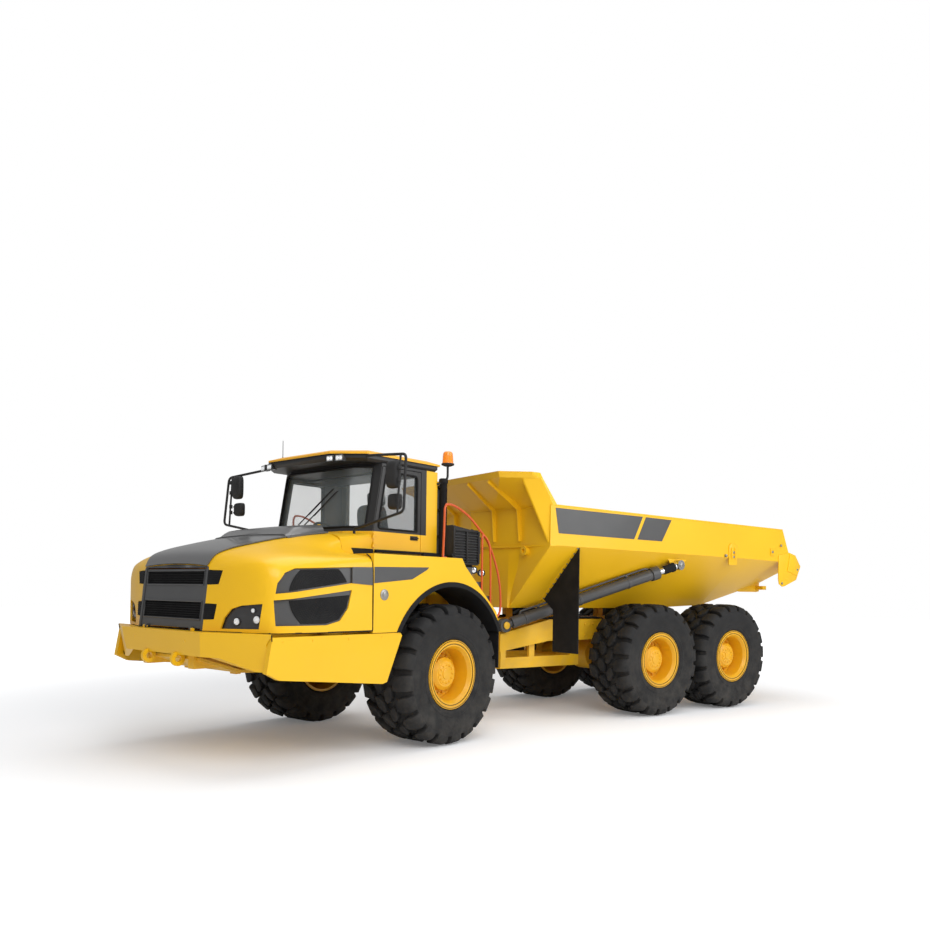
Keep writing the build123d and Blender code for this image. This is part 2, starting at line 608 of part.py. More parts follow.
with BuildPart() as hood:
    hood_loft(0, 0, HOOD_REAR_X, Mode.ADD)
    side_plate(SCOOP_OUTLINE, -SCOOP_HALF_W, SCOOP_HALF_W)
    hood_loft(HOOD_T, HOOD_T, HOOD_REAR_X - 50, Mode.SUBTRACT)
    grille_face = [(-GRILLE_HALF_W, HOOD_LOW_Z - 10), (GRILLE_HALF_W, HOOD_LOW_Z - 10),
                   (GRILLE_HALF_W, GRILLE_HIGH_Z), (-GRILLE_HALF_W, GRILLE_HIGH_Z)]
    cross_plate(grille_face, 3640, 4000, mode=Mode.SUBTRACT)
    for side in (-1, 1):
        y = sorted((side * SIDE_WINDOW_IN_Y, side * (BODY_SIDE_Y + 100)))
        side_plate(SIDE_WINDOW_UPPER, *y, mode=Mode.SUBTRACT)
        side_plate(SIDE_WINDOW_LOWER, *y, mode=Mode.SUBTRACT)
        for opening in (LAMP_OPENING, *CHEEK_SLOTS):
            cross_plate([(side * y, z) for y, z in opening], 3560, 4000, mode=Mode.SUBTRACT)
    for side in (-1, 1):
        lug_y = sorted((side * (HOOD_EAR_Y + HOOD_EAR_T + 2), side * (HOOD_EAR_Y + 2 * HOOD_EAR_T + 2)))
        ends = [(HOOD_HINGE_X, y, HOOD_HINGE_Z) for y in lug_y]
        rod(*ends, HOOD_EAR_R)
        block((HOOD_HINGE_X, HOOD_REAR_X + 5), lug_y, (HOOD_HINGE_Z - HOOD_EAR_R, HOOD_HINGE_Z))
        rod(*ends, HOOD_PIN_R + RUNNING_GAP, mode=Mode.SUBTRACT)
keep(hood, "hood", FRONT)

GRILLE_PLANE = FACE_PLANE.offset(-6)
with BuildPart() as grille:
    low, high = GRILLE_LOW_Z - HOOD_LOW_Z, (GRILLE_HIGH_Z - HOOD_LOW_Z) / cos(radians(HOOD_LEAN)) - 8
    half = GRILLE_HALF_W - 8
    face = face_of([(-half, low), (half, low), (half, high), (-half, high)], GRILLE_PLANE)
    extrude(face, amount=-GRILLE_T)
    for window in GRILLE_WINDOWS:
        edge = half - GRILLE_FRAME_W
        bottom, top = ((z - HOOD_LOW_Z) / cos(radians(HOOD_LEAN)) for z in window)
        opening = [(-edge, bottom), (edge, bottom), (edge, top), (-edge, top)]
        extrude(face_of(opening, GRILLE_PLANE), amount=-GRILLE_WINDOW_DEPTH, mode=Mode.SUBTRACT)
    for side in (-1, 1):
        lug_y = sorted((side * (GRILLE_EAR_Y - GRILLE_EAR_T - 2), side * (GRILLE_EAR_Y - 2)))
        ends = [(GRILLE_HINGE_X, y, GRILLE_HINGE_Z) for y in lug_y]
        rod(*ends, 13)
        lug = (
            (GRILLE_HINGE_X - 5, GRILLE_HINGE_Z - 11),
            (GRILLE_HINGE_X + 12, GRILLE_HINGE_Z),
            (GRILLE_HINGE_X + 2, GRILLE_HINGE_Z + 24),
            (GRILLE_HINGE_X - 45, GRILLE_HINGE_Z + 26),
            (GRILLE_HINGE_X - 45, GRILLE_HINGE_Z + 8),
        )
        side_plate(lug, *lug_y)
        rod(*ends, GRILLE_PIN_R + RUNNING_GAP, mode=Mode.SUBTRACT)
keep(grille, "grille", FRONT)

with BuildPart() as headlights:
    hood_loft(24, 24, HOOD_REAR_X, Mode.ADD)
    hood_loft(95, 95, HOOD_REAR_X - 50, Mode.SUBTRACT)
    with BuildPart(mode=Mode.PRIVATE) as lamp_space:
        for side in (-1, 1):
            cross_plate([(side * y, z) for y, z in LAMP_OPENING], 3500, 4000)
    add(lamp_space.part, mode=Mode.INTERSECT)
keep(headlights, "headlights", FRONT)

with BuildPart() as side_screens:
    hood_loft(12, 12, HOOD_REAR_X, Mode.ADD)
    hood_loft(28, 28, HOOD_REAR_X - 50, Mode.SUBTRACT)
    with BuildPart(mode=Mode.PRIVATE) as screen_space:
        for side in (-1, 1):
            y = sorted((side * SIDE_WINDOW_IN_Y, side * (BODY_SIDE_Y + 100)))
            side_plate(SIDE_WINDOW_UPPER, *y)
            side_plate(SIDE_WINDOW_LOWER, *y)
            for slot in CHEEK_SLOTS:
                cross_plate([(side * y, z) for y, z in slot], 3600, 4000)
    add(screen_space.part, mode=Mode.INTERSECT)
keep(side_screens, "side_screens", FRONT)

# Fenders: a deck beside the cab, an outer plate over each wheel and a ramp down behind it
FENDER_FRONT_X = HOOD_REAR_X - PANEL_GAP
FENDER_SIDE = (
    # x, z
    (FENDER_FRONT_X, PANEL_TOP_Z + PANEL_GAP),
    (FENDER_FRONT_X, FENDER_TOP_Z),
    (1050, FENDER_TOP_Z),
    (985, 2030),
    (FENDER_REAR_X, 1500),
    (335, 1258),
    (1210, 865),
    (2085, PANEL_TOP_Z + PANEL_GAP),
)
DECK_TOP = (
    # x, z
    (FENDER_FRONT_X, FENDER_TOP_Z),
    (1050, FENDER_TOP_Z),
    (985, 2030),
    (FENDER_REAR_X, 1500),
    (FENDER_REAR_X + 34, 1462),
    (1020, 1990),
    (1075, FENDER_TOP_Z - FENDER_T),
    (FENDER_FRONT_X, FENDER_TOP_Z - FENDER_T),
)
DECK_IN_Y = CAB_HALF_W + SEAT_GAP
FENDER_POST_X = 2330.0
FENDER_POST_Y = 980.0
with BuildPart() as fenders:
    for side in (-1, 1):
        plate_y = sorted((side * (FENDER_SIDE_Y - FENDER_T), side * FENDER_SIDE_Y))
        side_plate(FENDER_SIDE, *plate_y)
        side_plate(DECK_TOP, *sorted((side * DECK_IN_Y, side * FENDER_SIDE_Y)))
    hub = (FRONT_AXLE_X, 0, ARCH_Z)
    rod((hub[0], -2000, hub[2]), (hub[0], 2000, hub[2]), ARCH_R, mode=Mode.SUBTRACT)
    for side in (-1, 1):
        # post from the frame's rail up to the deck, in front of the wheel
        x = (FENDER_POST_X - 40, FENDER_POST_X + 40)
        block(x, sorted((side * (RAIL_OUT_Y + SEAT_GAP), side * FENDER_POST_Y)), (1160, 1240))
        y = sorted((side * (FENDER_POST_Y - 80), side * FENDER_POST_Y))
        block(x, y, (1160, FENDER_TOP_Z - FENDER_T))
keep(fenders, "fenders", FRONT)

FLAP_X = 330.0
FLAP_T = 14.0
FLAP_LOW_Z = 820.0
with BuildPart() as fender_trims:
    rod((hub[0], -FENDER_SIDE_Y - 6, hub[2]), (hub[0], FENDER_SIDE_Y + 6, hub[2]), ARCH_R - RUNNING_GAP)
    rod((hub[0], -2000, hub[2]), (hub[0], 2000, hub[2]), ARCH_R - ARCH_TRIM_W, mode=Mode.SUBTRACT)
    block((-200, 2600), (-DECK_IN_Y, DECK_IN_Y), (-400, 2600), mode=Mode.SUBTRACT)
    block((-200, 2600), (-2000, 2000), (-400, 1262), mode=Mode.SUBTRACT)
    block((1500, 2600), (-2000, 2000), (-400, PANEL_TOP_Z + PANEL_GAP), mode=Mode.SUBTRACT)
    for side in (-1, 1):
        y = sorted((side * (DECK_IN_Y + 10), side * (FENDER_SIDE_Y - 20)))
        block((FLAP_X - FLAP_T / 2, FLAP_X + FLAP_T / 2), y, (FLAP_LOW_Z, 1290))
keep(fender_trims, "fender_trims", FRONT)

RAMP_RISE = (2030.0 - 1500.0) / (985.0 - FENDER_REAR_X)
TREADS = (430.0, 615.0, 800.0)
TREAD_L = 150.0
TREAD_T = 30.0
with BuildPart() as steps:
    for side in (-1, 1):
        y = sorted((side * (DECK_IN_Y + 60), side * (FENDER_SIDE_Y - 60)))
        for x in TREADS:
            seat_z = [1500 + RAMP_RISE * (end - FENDER_REAR_X) + SEAT_GAP for end in (x, x + TREAD_L)]
            top = seat_z[1] + TREAD_T
            side_plate(((x, seat_z[0]), (x + TREAD_L, seat_z[1]), (x + TREAD_L, top), (x, top)), *y)
keep(steps, "steps", FRONT)

RAIL_R = 19.0
RAIL_Y = 1375.0
LONG_RAIL = (
    (1290, FENDER_TOP_Z + SEAT_GAP), (1290, 2775), (1000, 2735), (630, 2480), (390, 2130), (235, 1560),
    (348, 1408),
)
SHORT_RAIL = ((640, 1737), (640, 2440), (440, 2310), (440, 1556))
with BuildPart() as handrails:
    for side in (-1, 1):
        for route in (LONG_RAIL, SHORT_RAIL):
            y = RAIL_Y if route is LONG_RAIL else RAIL_Y + 25
            bent_pipe([(x, side * y, z) for x, z in route], RAIL_R, 70 if route is LONG_RAIL else 60)
keep(handrails, "handrails", FRONT)

# Cab
WINDSCREEN_LEAN = 140.0
WINDSCREEN_LOW_Z = 2452.0
WINDSCREEN_HIGH_Z = 3140.0
WINDSCREEN_HALF_W = 790.0
CAB_SILL_Z = 2440.0


def cab_form(inset, mode=Mode.ADD):
    """The cab's outer form drawn in by an even inset."""
    lower = [(CAB_REAR_X + inset, CAB_HALF_W - inset), (CAB_FRONT_X - inset * 0.55, CAB_HALF_W - inset),
             (CAB_NOSE_X - inset, CAB_NOSE_Y - inset * 0.27)]
    upper = [(x if i == 0 else x - WINDSCREEN_LEAN, y) for i, (x, y) in enumerate(lower)]
    plan_plate(both(lower), CAB_FLOOR_Z + inset, CAB_BELT_Z, mode=mode)
    top = CAB_TOP_Z - inset
    belt_face = face_of(both(lower), Plane.XY.offset(CAB_BELT_Z))
    loft([belt_face, face_of(both(upper), Plane.XY.offset(top))], ruled=True, mode=mode)


DOOR_OUTLINE = (
    # x, z
    (DOOR_REAR_X, DOOR_LOW_Z),
    (DOOR_FRONT_X, DOOR_LOW_Z),
    (DOOR_FRONT_X, 2400),
    (DOOR_FRONT_X - 134, DOOR_HIGH_Z),
    (DOOR_REAR_X, DOOR_HIGH_Z),
)
DOOR_PANE = (
    (DOOR_REAR_X + 70, CAB_SILL_Z),
    (DOOR_FRONT_X - 75, CAB_SILL_Z),
    (DOOR_FRONT_X - 195, DOOR_HIGH_Z - 60),
    (DOOR_REAR_X + 70, DOOR_HIGH_Z - 60),
)
WINDSCREEN = both_sides([(WINDSCREEN_HALF_W, WINDSCREEN_HIGH_Z), (WINDSCREEN_HALF_W, WINDSCREEN_LOW_Z)])
REAR_PANE = both_sides([(720, WINDSCREEN_HIGH_Z), (720, WINDSCREEN_LOW_Z)])
with BuildPart() as cab_shell:
    cab_form(0)
    cab_form(CAB_T, mode=Mode.SUBTRACT)
    side_plate(DOOR_OUTLINE, CAB_HALF_W - CAB_T - 40, CAB_HALF_W + 20, mode=Mode.SUBTRACT)
    side_plate(DOOR_PANE, -CAB_HALF_W - 20, -CAB_HALF_W + CAB_T + 40, mode=Mode.SUBTRACT)
    cross_plate(WINDSCREEN, 1500, 2300, mode=Mode.SUBTRACT)
    cross_plate(REAR_PANE, CAB_REAR_X - 50, CAB_REAR_X + 150, mode=Mode.SUBTRACT)
    for z in DOOR_HINGE_Z:
        block((DOOR_FRONT_X - 8, DOOR_FRONT_X + 22), (CAB_HALF_W - 5, DOOR_HINGE_Y + 12), (z, z + 30))
        rod((DOOR_FRONT_X, DOOR_HINGE_Y, z), (DOOR_FRONT_X, DOOR_HINGE_Y, z + 62), DOOR_PIN_R)
keep(cab_shell, "cab_shell", FRONT)

with BuildPart() as cab_glass:
    cab_form(20)
    cab_form(20 + GLASS_T, mode=Mode.SUBTRACT)
    with BuildPart(mode=Mode.PRIVATE) as pane_space:
        side_plate(DOOR_PANE, -CAB_HALF_W - 20, -CAB_HALF_W + CAB_T + 40)
        cross_plate(WINDSCREEN, 1500, 2300)
        cross_plate(REAR_PANE, CAB_REAR_X - 50, CAB_REAR_X + 150)
    add(pane_space.part, mode=Mode.INTERSECT)
keep(cab_glass, "cab_glass", FRONT)


def shrink(points, gap):
    """The corners of a convex outline moved in towards its middle box by a gap."""
    xs, zs = [x for x, _ in points], [z for _, z in points]
    mid_x, mid_z = (min(xs) + max(xs)) / 2, (min(zs) + max(zs)) / 2
    return [(x - gap if x > mid_x else x + gap, z - gap if z > mid_z else z + gap) for x, z in points]


with BuildPart() as door:
    side_plate(shrink(DOOR_OUTLINE, DOOR_GAP), CAB_HALF_W - DOOR_T, CAB_HALF_W)
    side_plate(DOOR_PANE, CAB_HALF_W - DOOR_T - 10, CAB_HALF_W + 10, mode=Mode.SUBTRACT)
    for z in DOOR_HINGE_Z:
        knuckle_z = (z + 31, z + 61)
        block((DOOR_FRONT_X - 40, DOOR_FRONT_X), (CAB_HALF_W - 5, DOOR_HINGE_Y + 9), knuckle_z)
        rod((DOOR_FRONT_X, DOOR_HINGE_Y, z + 31), (DOOR_FRONT_X, DOOR_HINGE_Y, z + 61), 11)
        bore = [(DOOR_FRONT_X, DOOR_HINGE_Y, end) for end in (z + 20, z + 70)]
        rod(*bore, DOOR_PIN_R + RUNNING_GAP, mode=Mode.SUBTRACT)
keep(door, "door", FRONT)

with BuildPart() as door_glass:
    side_plate(DOOR_PANE, CAB_HALF_W - 32, CAB_HALF_W - 20)
keep(door_glass, "door_glass", FRONT)

# Cowl between the cab and the hood
COWL_REAR_X = 1940.0
COWL_LOW_Z = 1500.0
COWL_HALF = [(CAB_HALF_W, COWL_LOW_Z), (CAB_HALF_W, 2160), (860, 2300), (730, 2385), (0, 2415)]
COWL_T = 40.0
with BuildPart() as cowl:
    cross_plate(both_sides(COWL_HALF), COWL_REAR_X, FENDER_FRONT_X)
    inner = [(max(y - COWL_T, 0), z - COWL_T) for y, z in COWL_HALF]
    cross_plate(both_sides(inner), COWL_REAR_X - 10, FENDER_FRONT_X + 10, mode=Mode.SUBTRACT)
    beside = CAB_HALF_W + 6
    grown = [(CAB_REAR_X, beside), (CAB_FRONT_X + 6, beside), (CAB_NOSE_X + 8, CAB_NOSE_Y + 2)]
    plan_plate(both(grown), 1000, 3000, mode=Mode.SUBTRACT)
    for side in (-1, 1):
        ear_y = sorted((side * HOOD_EAR_Y, side * (HOOD_EAR_Y + HOOD_EAR_T)))
        x = (HOOD_HINGE_X - HOOD_EAR_R, HOOD_HINGE_X + HOOD_EAR_R)
        block(x, ear_y, (2380, HOOD_HINGE_Z))
        rod((HOOD_HINGE_X, ear_y[0], HOOD_HINGE_Z), (HOOD_HINGE_X, ear_y[1], HOOD_HINGE_Z), HOOD_EAR_R)
        pin_y = (side * HOOD_EAR_Y, side * (HOOD_EAR_Y + 2 * HOOD_EAR_T + 4))
        rod((HOOD_HINGE_X, pin_y[0], HOOD_HINGE_Z), (HOOD_HINGE_X, pin_y[1], HOOD_HINGE_Z), HOOD_PIN_R)
keep(cowl, "cowl", FRONT)

ROOF_LOW_Z = CAB_TOP_Z + SEAT_GAP
ROOF_HALF_W = 900.0
# each level: z and how far it is drawn in from the plan
ROOF_BOX = ((ROOF_LOW_Z, 50), (ROOF_LOW_Z + 30, 22), (ROOF_TOP_Z - 40, 22))
ROOF_PLATE = ((ROOF_TOP_Z - 42, 0), (ROOF_TOP_Z - 20, 0), (ROOF_TOP_Z + 20, 110))
ROOF_PLAN = [(CAB_REAR_X - 10, ROOF_HALF_W), (2050, ROOF_HALF_W), (ROOF_VISOR_X, ROOF_VISOR_Y)]
with BuildPart() as roof:
    for levels in (ROOF_BOX, ROOF_PLATE):
        faces = []
        for z, inset in levels:
            drawn_in = [(x + inset if x < 1500 else x - inset, y - inset) for x, y in ROOF_PLAN]
            faces.append(face_of(both(drawn_in), Plane.XY.offset(z)))
        loft(faces, ruled=True)
keep(roof, "roof", FRONT)

with BuildPart() as seat:
    block((1180, 1560), (-190, 190), (CAB_FLOOR_Z + CAB_T, 2160))
    block((1130, 1590), (-260, 260), (2160, 2300))
    side_plate(((1130, 2300), (1260, 2300), (1150, 2990), (1040, 2990), (1060, 2300)), -240, 240)
keep(seat, "seat", FRONT)

STEERING_WHEEL_R = 210.0
with BuildPart() as console:
    column = Plane(origin=(1800, 0, 2420), z_dir=(-0.5, 0, 0.866))
    rod((1900, 0, 2230), Vector(1800, 0, 2420), 30)
    with Locations(column):
        Torus(STEERING_WHEEL_R, 16)
        Box(2 * STEERING_WHEEL_R, 30, 14)
        Box(30, 2 * STEERING_WHEEL_R, 14)
    block((1850, 1985), (-400, 400), (CAB_FLOOR_Z + CAB_T, 2260))
    block((1300, 1600), (-300, -200), (CAB_FLOOR_Z + CAB_T, 1900))
    block((1180, 1620), (-560, -300), (CAB_FLOOR_Z + CAB_T, 2350))
keep(console, "console", FRONT)

MIRROR_TUBE_R = 15.0
with BuildPart() as mirrors:
    for side in (-1, 1):
        top_arm = [(2040, ROOF_HALF_W - 22 + SEAT_GAP, 3226), (2040, 970, 3226), (2150, 1600, 3165),
                   (2200, 1625, 2562), (2150, 1000, 2450), (2136, 800, 2420), (2136, 800, 2351)]
        bent_pipe([(x, side * y, z) for x, y, z in top_arm], MIRROR_TUBE_R, 50)
        rod((2152, side * 1523, 3174), (2190, side * 1523, 2545), MIRROR_TUBE_R * 0.8)
        y = sorted((side * 1360, side * 1500))
        block((2140, 2210), y, (2640, 3080))
        block((2150, 2190), sorted((side * 1490, side * 1530)), (2700, 2740))
        block((2150, 2190), sorted((side * 1490, side * 1530)), (2960, 3000))
keep(mirrors, "mirrors", FRONT)

with BuildPart() as work_lights:
    for side in (-1, 1):
        for x, y in ((2225, 600), (2110, 730)):
            lamp_y = (side * y - 60, side * y + 60)
            block((x - 50, x + 50), lamp_y, (ROOF_LOW_Z - 96, ROOF_LOW_Z - SEAT_GAP))
keep(work_lights, "work_lights", FRONT)

BEACON = (720.0, 900.0)
with BuildPart() as beacon:
    rod((BEACON[0], BEACON[1], 3050), (BEACON[0], BEACON[1], 3300), 16)
    bracket_z = (ROOF_TOP_Z - 66, ROOF_TOP_Z - 42 - SEAT_GAP)
    block((BEACON[0] - 16, CAB_REAR_X + 12 - SEAT_GAP), (BEACON[1] - 60, BEACON[1] - 10), bracket_z)
    block((BEACON[0] - 16, BEACON[0] + 16), (BEACON[1] - 60, BEACON[1]), bracket_z)
    rod((BEACON[0], BEACON[1], 3290), (BEACON[0], BEACON[1], 3450), 52)
keep(beacon, "beacon", FRONT)

REAR_SHELF_Z = 2070.0
with BuildPart() as exhaust:
    block((700, 850), (770, 960), (2180, 3040))
    block((720, 830), (790, 940), (REAR_SHELF_Z + SEAT_GAP, 2180))
keep(exhaust, "exhaust", FRONT)

with BuildPart() as rear_unit:
    block((385, 690), (880, 1090), (REAR_SHELF_Z, 2540))
    block((450, 640), (-1090, -880), (REAR_SHELF_Z, 2400))
    block((430, 860), (-920, 920), (REAR_SHELF_Z - 80, REAR_SHELF_Z))
    for side in (-1, 1):
        y = sorted((side * (RAIL_OUT_Y - RAIL_W), side * RAIL_OUT_Y))
        block((760, 850), y, (RAIL_HIGH_Z + SEAT_GAP, 1990))
keep(rear_unit, "rear_unit", FRONT)

# Rear frame
REAR_RAIL = (
    # x, z
    (-720, 1170),
    (-1600, REAR_RAIL_HIGH_Z),
    (REAR_RAIL_END_X, REAR_RAIL_HIGH_Z),
    (REAR_RAIL_END_X, REAR_RAIL_LOW_Z),
    (-1600, REAR_RAIL_LOW_Z),
    (-720, 930),
)
LOW_BEAM_Y = 520.0
TIP_EAR_R = 95.0
TIP_EAR_T = 110.0
TIP_EAR_OUT_Y = REAR_RAIL_OUT_Y - REAR_RAIL_W - 10
HOIST_BRACKET_Y = (470.0, 562.0)
with BuildPart() as rear_frame:
    back_x = ROLL_HOUSING_X - ROLL_HOUSING_L
    rod((ROLL_HOUSING_X, 0, ROLL_Z), (back_x, 0, ROLL_Z), ROLL_HOUSING_R)
    block((back_x - 60, back_x + 30), (-REAR_RAIL_OUT_Y, REAR_RAIL_OUT_Y), (700, 1170))
    bore = [(x, 0, ROLL_Z) for x in (ROLL_HOUSING_X + 10, back_x - 100)]
    rod(*bore, ROLL_TUBE_R + RUNNING_GAP, Mode.SUBTRACT)
    for side in (-1, 1):
        y = sorted((side * (REAR_RAIL_OUT_Y - REAR_RAIL_W), side * REAR_RAIL_OUT_Y))
        side_plate(REAR_RAIL, *y)
        low_y = sorted((side * (LOW_BEAM_Y - 90), side * LOW_BEAM_Y))
        block((-2250, back_x), low_y, (690, 840))
        web_y = sorted((side * (LOW_BEAM_Y - 40), side * LOW_BEAM_Y))
        block((-1400, -1300), web_y, (800, 1120))
        block((-2240, -2080), web_y, (800, 1120))
        bracket_y = sorted((side * HOIST_BRACKET_Y[0], side * HOIST_BRACKET_Y[1]))
        block((HOIST_LOW_PIN[0] - 70, HOIST_LOW_PIN[0] + 70), bracket_y, (1000, HOIST_LOW_PIN[2] + 90))
        pin_y = side * HOIST_LOW_PIN[1]
        pin_end = pin_y + side * (HOIST_EYE_W / 2 + 8)
        pin = [(HOIST_LOW_PIN[0], y, HOIST_LOW_PIN[2]) for y in (side * 500, pin_end)]
        rod(*pin, HOIST_PIN_R)
        with BuildPart(mode=Mode.PRIVATE) as ball:
            with Locations((HOIST_LOW_PIN[0], pin_y, HOIST_LOW_PIN[2])):
                Sphere(HOIST_BALL_R)
                Box(200, HOIST_EYE_W, 200, mode=Mode.INTERSECT)
        add(ball.part)
        ear_y = sorted((side * (REAR_RAIL_OUT_Y - REAR_RAIL_W), side * REAR_RAIL_OUT_Y))
        ear_x = (TIP_PIVOT_X - TIP_EAR_R, TIP_PIVOT_X + TIP_EAR_R)
        block(ear_x, ear_y, (REAR_RAIL_HIGH_Z - 50, TIP_PIVOT_Z))
        rod((TIP_PIVOT_X, ear_y[0], TIP_PIVOT_Z), (TIP_PIVOT_X, ear_y[1], TIP_PIVOT_Z), TIP_EAR_R)
        rod((TIP_PIVOT_X, side * 300, TIP_PIVOT_Z), (TIP_PIVOT_X, side * 640, TIP_PIVOT_Z), TIP_PIN_R)
        pad_y = sorted((side * 490, side * 590))
        for x in (-1750.0, -3700.0):
            block((x - 60, x + 60), pad_y, (REAR_RAIL_HIGH_Z, BODY_FLOOR_Z - 8))
        stop_y = sorted((side * (REAR_RAIL_OUT_Y - REAR_RAIL_W), side * BOGIE_BEAM_Y))
        stop_z = (AXLE_Z + 190 + SEAT_GAP, REAR_RAIL_LOW_Z + 20)
        block((BOGIE_MIDDLE_X - 90, BOGIE_MIDDLE_X + 90), stop_y, stop_z)
    rod((-2165, -LOW_BEAM_Y, 765), (-2165, LOW_BEAM_Y, 765), 70)
    for x in (-1560.0, -2600.0, -3800.0, REAR_RAIL_END_X + 100):
        half = REAR_RAIL_OUT_Y - REAR_RAIL_W + 10
        block((x - 90, x + 90), (-half, half), (REAR_RAIL_LOW_Z + 30, REAR_RAIL_HIGH_Z - 30))
keep(rear_frame, "rear_frame", REAR)

# Dump body: half sections from front to back: x, then y and z of the top, the rail's fold and the corner
BODY_STATIONS = (
    (BODY_FRONT_X, (BODY_HALF_W, 2870), (BODY_HALF_W, 2354), (BODY_CORNER_Y, 1530)),
    (-3560.0, (BODY_HALF_W, 2842), (BODY_HALF_W, 2332), (BODY_CORNER_Y, 1522)),
    (-4800.0, (BODY_HALF_W, 2830), (BODY_HALF_W, 2318), (680, 1572)),
    (-5800.0, (BODY_HALF_W, 2820), (BODY_HALF_W, 2300), (700, 1812)),
    (-6340.0, (BODY_HALF_W, 2815), (BODY_HALF_W, 2290), (700, 1942)),
)
TAIL_CUT = (
    # x, z
    (-5895, 2900),
    (-5895, 2819),
    (-6070, 2450),
    (-6250, 2410),
    (-6340, 2260),
    (-6290, 1900),
    (-6600, 1900),
    (-6600, 2900),
)
# Front wall and canopy: rows of height, then x and y of the front face's corners from the middle out
WALL_LEVELS = (
    (1530, (-800, 0), (-800, 250), (-800, 450), (-800, 640)),
    (2345, (-640, 0), (-735, 450), (-815, 900), (-830, BODY_HALF_W)),
    (2860, (-640, 0), (-720, 450), (-790, 900), (-868, BODY_HALF_W - 5)),
    (3195, (-240, 0), (-240, 600), (-240, 1150), (-650, 1432)),
    (CANOPY_TOP_Z, (CANOPY_FRONT_X, 0), (CANOPY_FRONT_X, 600), (CANOPY_FRONT_X, 1170), (-560, 1405)),
)
WALL_T = 70.0
WALL_BACK_X = -1000.0


def wall_form(back, mode=Mode.ADD):
    """The space behind the front face, moved back by a distance, up to a plane behind the wall."""
    sections = []
    for z, *points in WALL_LEVELS:
        front = [(x - back, y) for x, y in points]
        ends = (WALL_BACK_X, points[-1][1])
        sections.append(face_of(both(front + [ends]), Plane.XY.offset(z)))
    loft(sections, ruled=True, mode=mode)


EYE_BOSS = (-765.0, 1000.0, 2290.0)
EYE_BOSS_R = 62.0
EYE_HOLE_R = 30.0
CANOPY_RIB_T = 16.0
CANOPY_RIBS = (
    # y, then x and z of the outline
    (450.0, ((-760, 2420), (-745, 2870), (-262, 3208), (-235, 3160), (-655, 2840), (-690, 2420))),
    (900.0, ((-840, 2420), (-815, 2870), (-262, 3208), (-235, 3150), (-725, 2840), (-765, 2420))),
)
with BuildPart() as dump_body:
    loft([face_of(both_sides(half), Plane.YZ.offset(x)) for x, *half in BODY_STATIONS], ruled=True)
    inner_sections = []
    for x, top, fold, corner in BODY_STATIONS:
        inner = [(top[0] - BODY_WALL, top[1] + 5), (fold[0] - BODY_WALL, fold[1] + 25),
                 (corner[0] - 20, corner[1] + 60)]
        x = BODY_FRONT_X - 5 if x == BODY_FRONT_X else x
        x = x - 50 if x < -6000 else x
        inner_sections.append(face_of(both_sides(inner), Plane.YZ.offset(x)))
    loft(inner_sections, ruled=True, mode=Mode.SUBTRACT)
    side_plate(TAIL_CUT, -2000, 2000, mode=Mode.SUBTRACT)
    with BuildPart(mode=Mode.PRIVATE) as front_wall:
        wall_form(0)
        wall_form(WALL_T, mode=Mode.SUBTRACT)
        behind = (WALL_BACK_X - 5, WALL_BACK_X + 55)
        block(behind, (-BODY_HALF_W - 5, BODY_HALF_W + 5), (1500, CANOPY_TOP_Z + 5), mode=Mode.SUBTRACT)
    add(front_wall.part.solids().sort_by(SortBy.VOLUME)[-1])
    # ribs down the wall under the canopy, and the lifting bosses
    for rib_y, outline in CANOPY_RIBS:
        for side in (-1, 1):
            side_plate(outline, side * rib_y - CANOPY_RIB_T / 2, side * rib_y + CANOPY_RIB_T / 2)
    for side in (-1, 1):
        boss = [(x, side * EYE_BOSS[1], EYE_BOSS[2]) for x in (EYE_BOSS[0] - 60, EYE_BOSS[0])]
        rod(*boss, EYE_BOSS_R)
        hole = [(x, side * EYE_BOSS[1], EYE_BOSS[2]) for x in (EYE_BOSS[0] - 25, EYE_BOSS[0] + 10)]
        rod(*hole, EYE_HOLE_R, mode=Mode.SUBTRACT)
    for side in (-1, 1):
        ear_y = sorted((side * (TIP_EAR_OUT_Y - TIP_EAR_T), side * TIP_EAR_OUT_Y))
        block((TIP_PIVOT_X - TIP_EAR_R, TIP_PIVOT_X + TIP_EAR_R), ear_y, (TIP_PIVOT_Z, 1680))
        rod((TIP_PIVOT_X, ear_y[0], TIP_PIVOT_Z), (TIP_PIVOT_X, ear_y[1], TIP_PIVOT_Z), TIP_EAR_R)
        ends = [(TIP_PIVOT_X, y, TIP_PIVOT_Z) for y in ear_y]
        rod(*ends, TIP_PIN_R + RUNNING_GAP, mode=Mode.SUBTRACT)
keep(dump_body, "dump_body", REAR)

SHIELD_X = -1350.0
SHIELD_T = 14.0
SHIELD_Y = (765.0, 1455.0)
SHIELD_STEP = (960.0, 1510.0)
SHIELD_LOW_Z = 940.0


def slope_z(x, y):
    """Height of the body's sloping side at a place between its first two stations."""
    front, back = BODY_STATIONS[:2]
    share = (x - front[0]) / (back[0] - front[0])
    fold = [a + share * (b - a) for a, b in zip(front[2], back[2])]
    corner = [a + share * (b - a) for a, b in zip(front[3], back[3])]
    return corner[1] + (y - corner[0]) / (fold[0] - corner[0]) * (fold[1] - corner[1])


with BuildPart() as mud_shields:
    for side in (-1, 1):
        edge = [(y, slope_z(SHIELD_X, y) - 2 * SEAT_GAP) for y in SHIELD_Y]
        half = edge + [(SHIELD_Y[1], SHIELD_LOW_Z), (SHIELD_STEP[0], SHIELD_LOW_Z), SHIELD_STEP]
        cross_plate([(side * y, z) for y, z in half], SHIELD_X - SHIELD_T / 2, SHIELD_X + SHIELD_T / 2)
keep(mud_shields, "mud_shields", REAR)

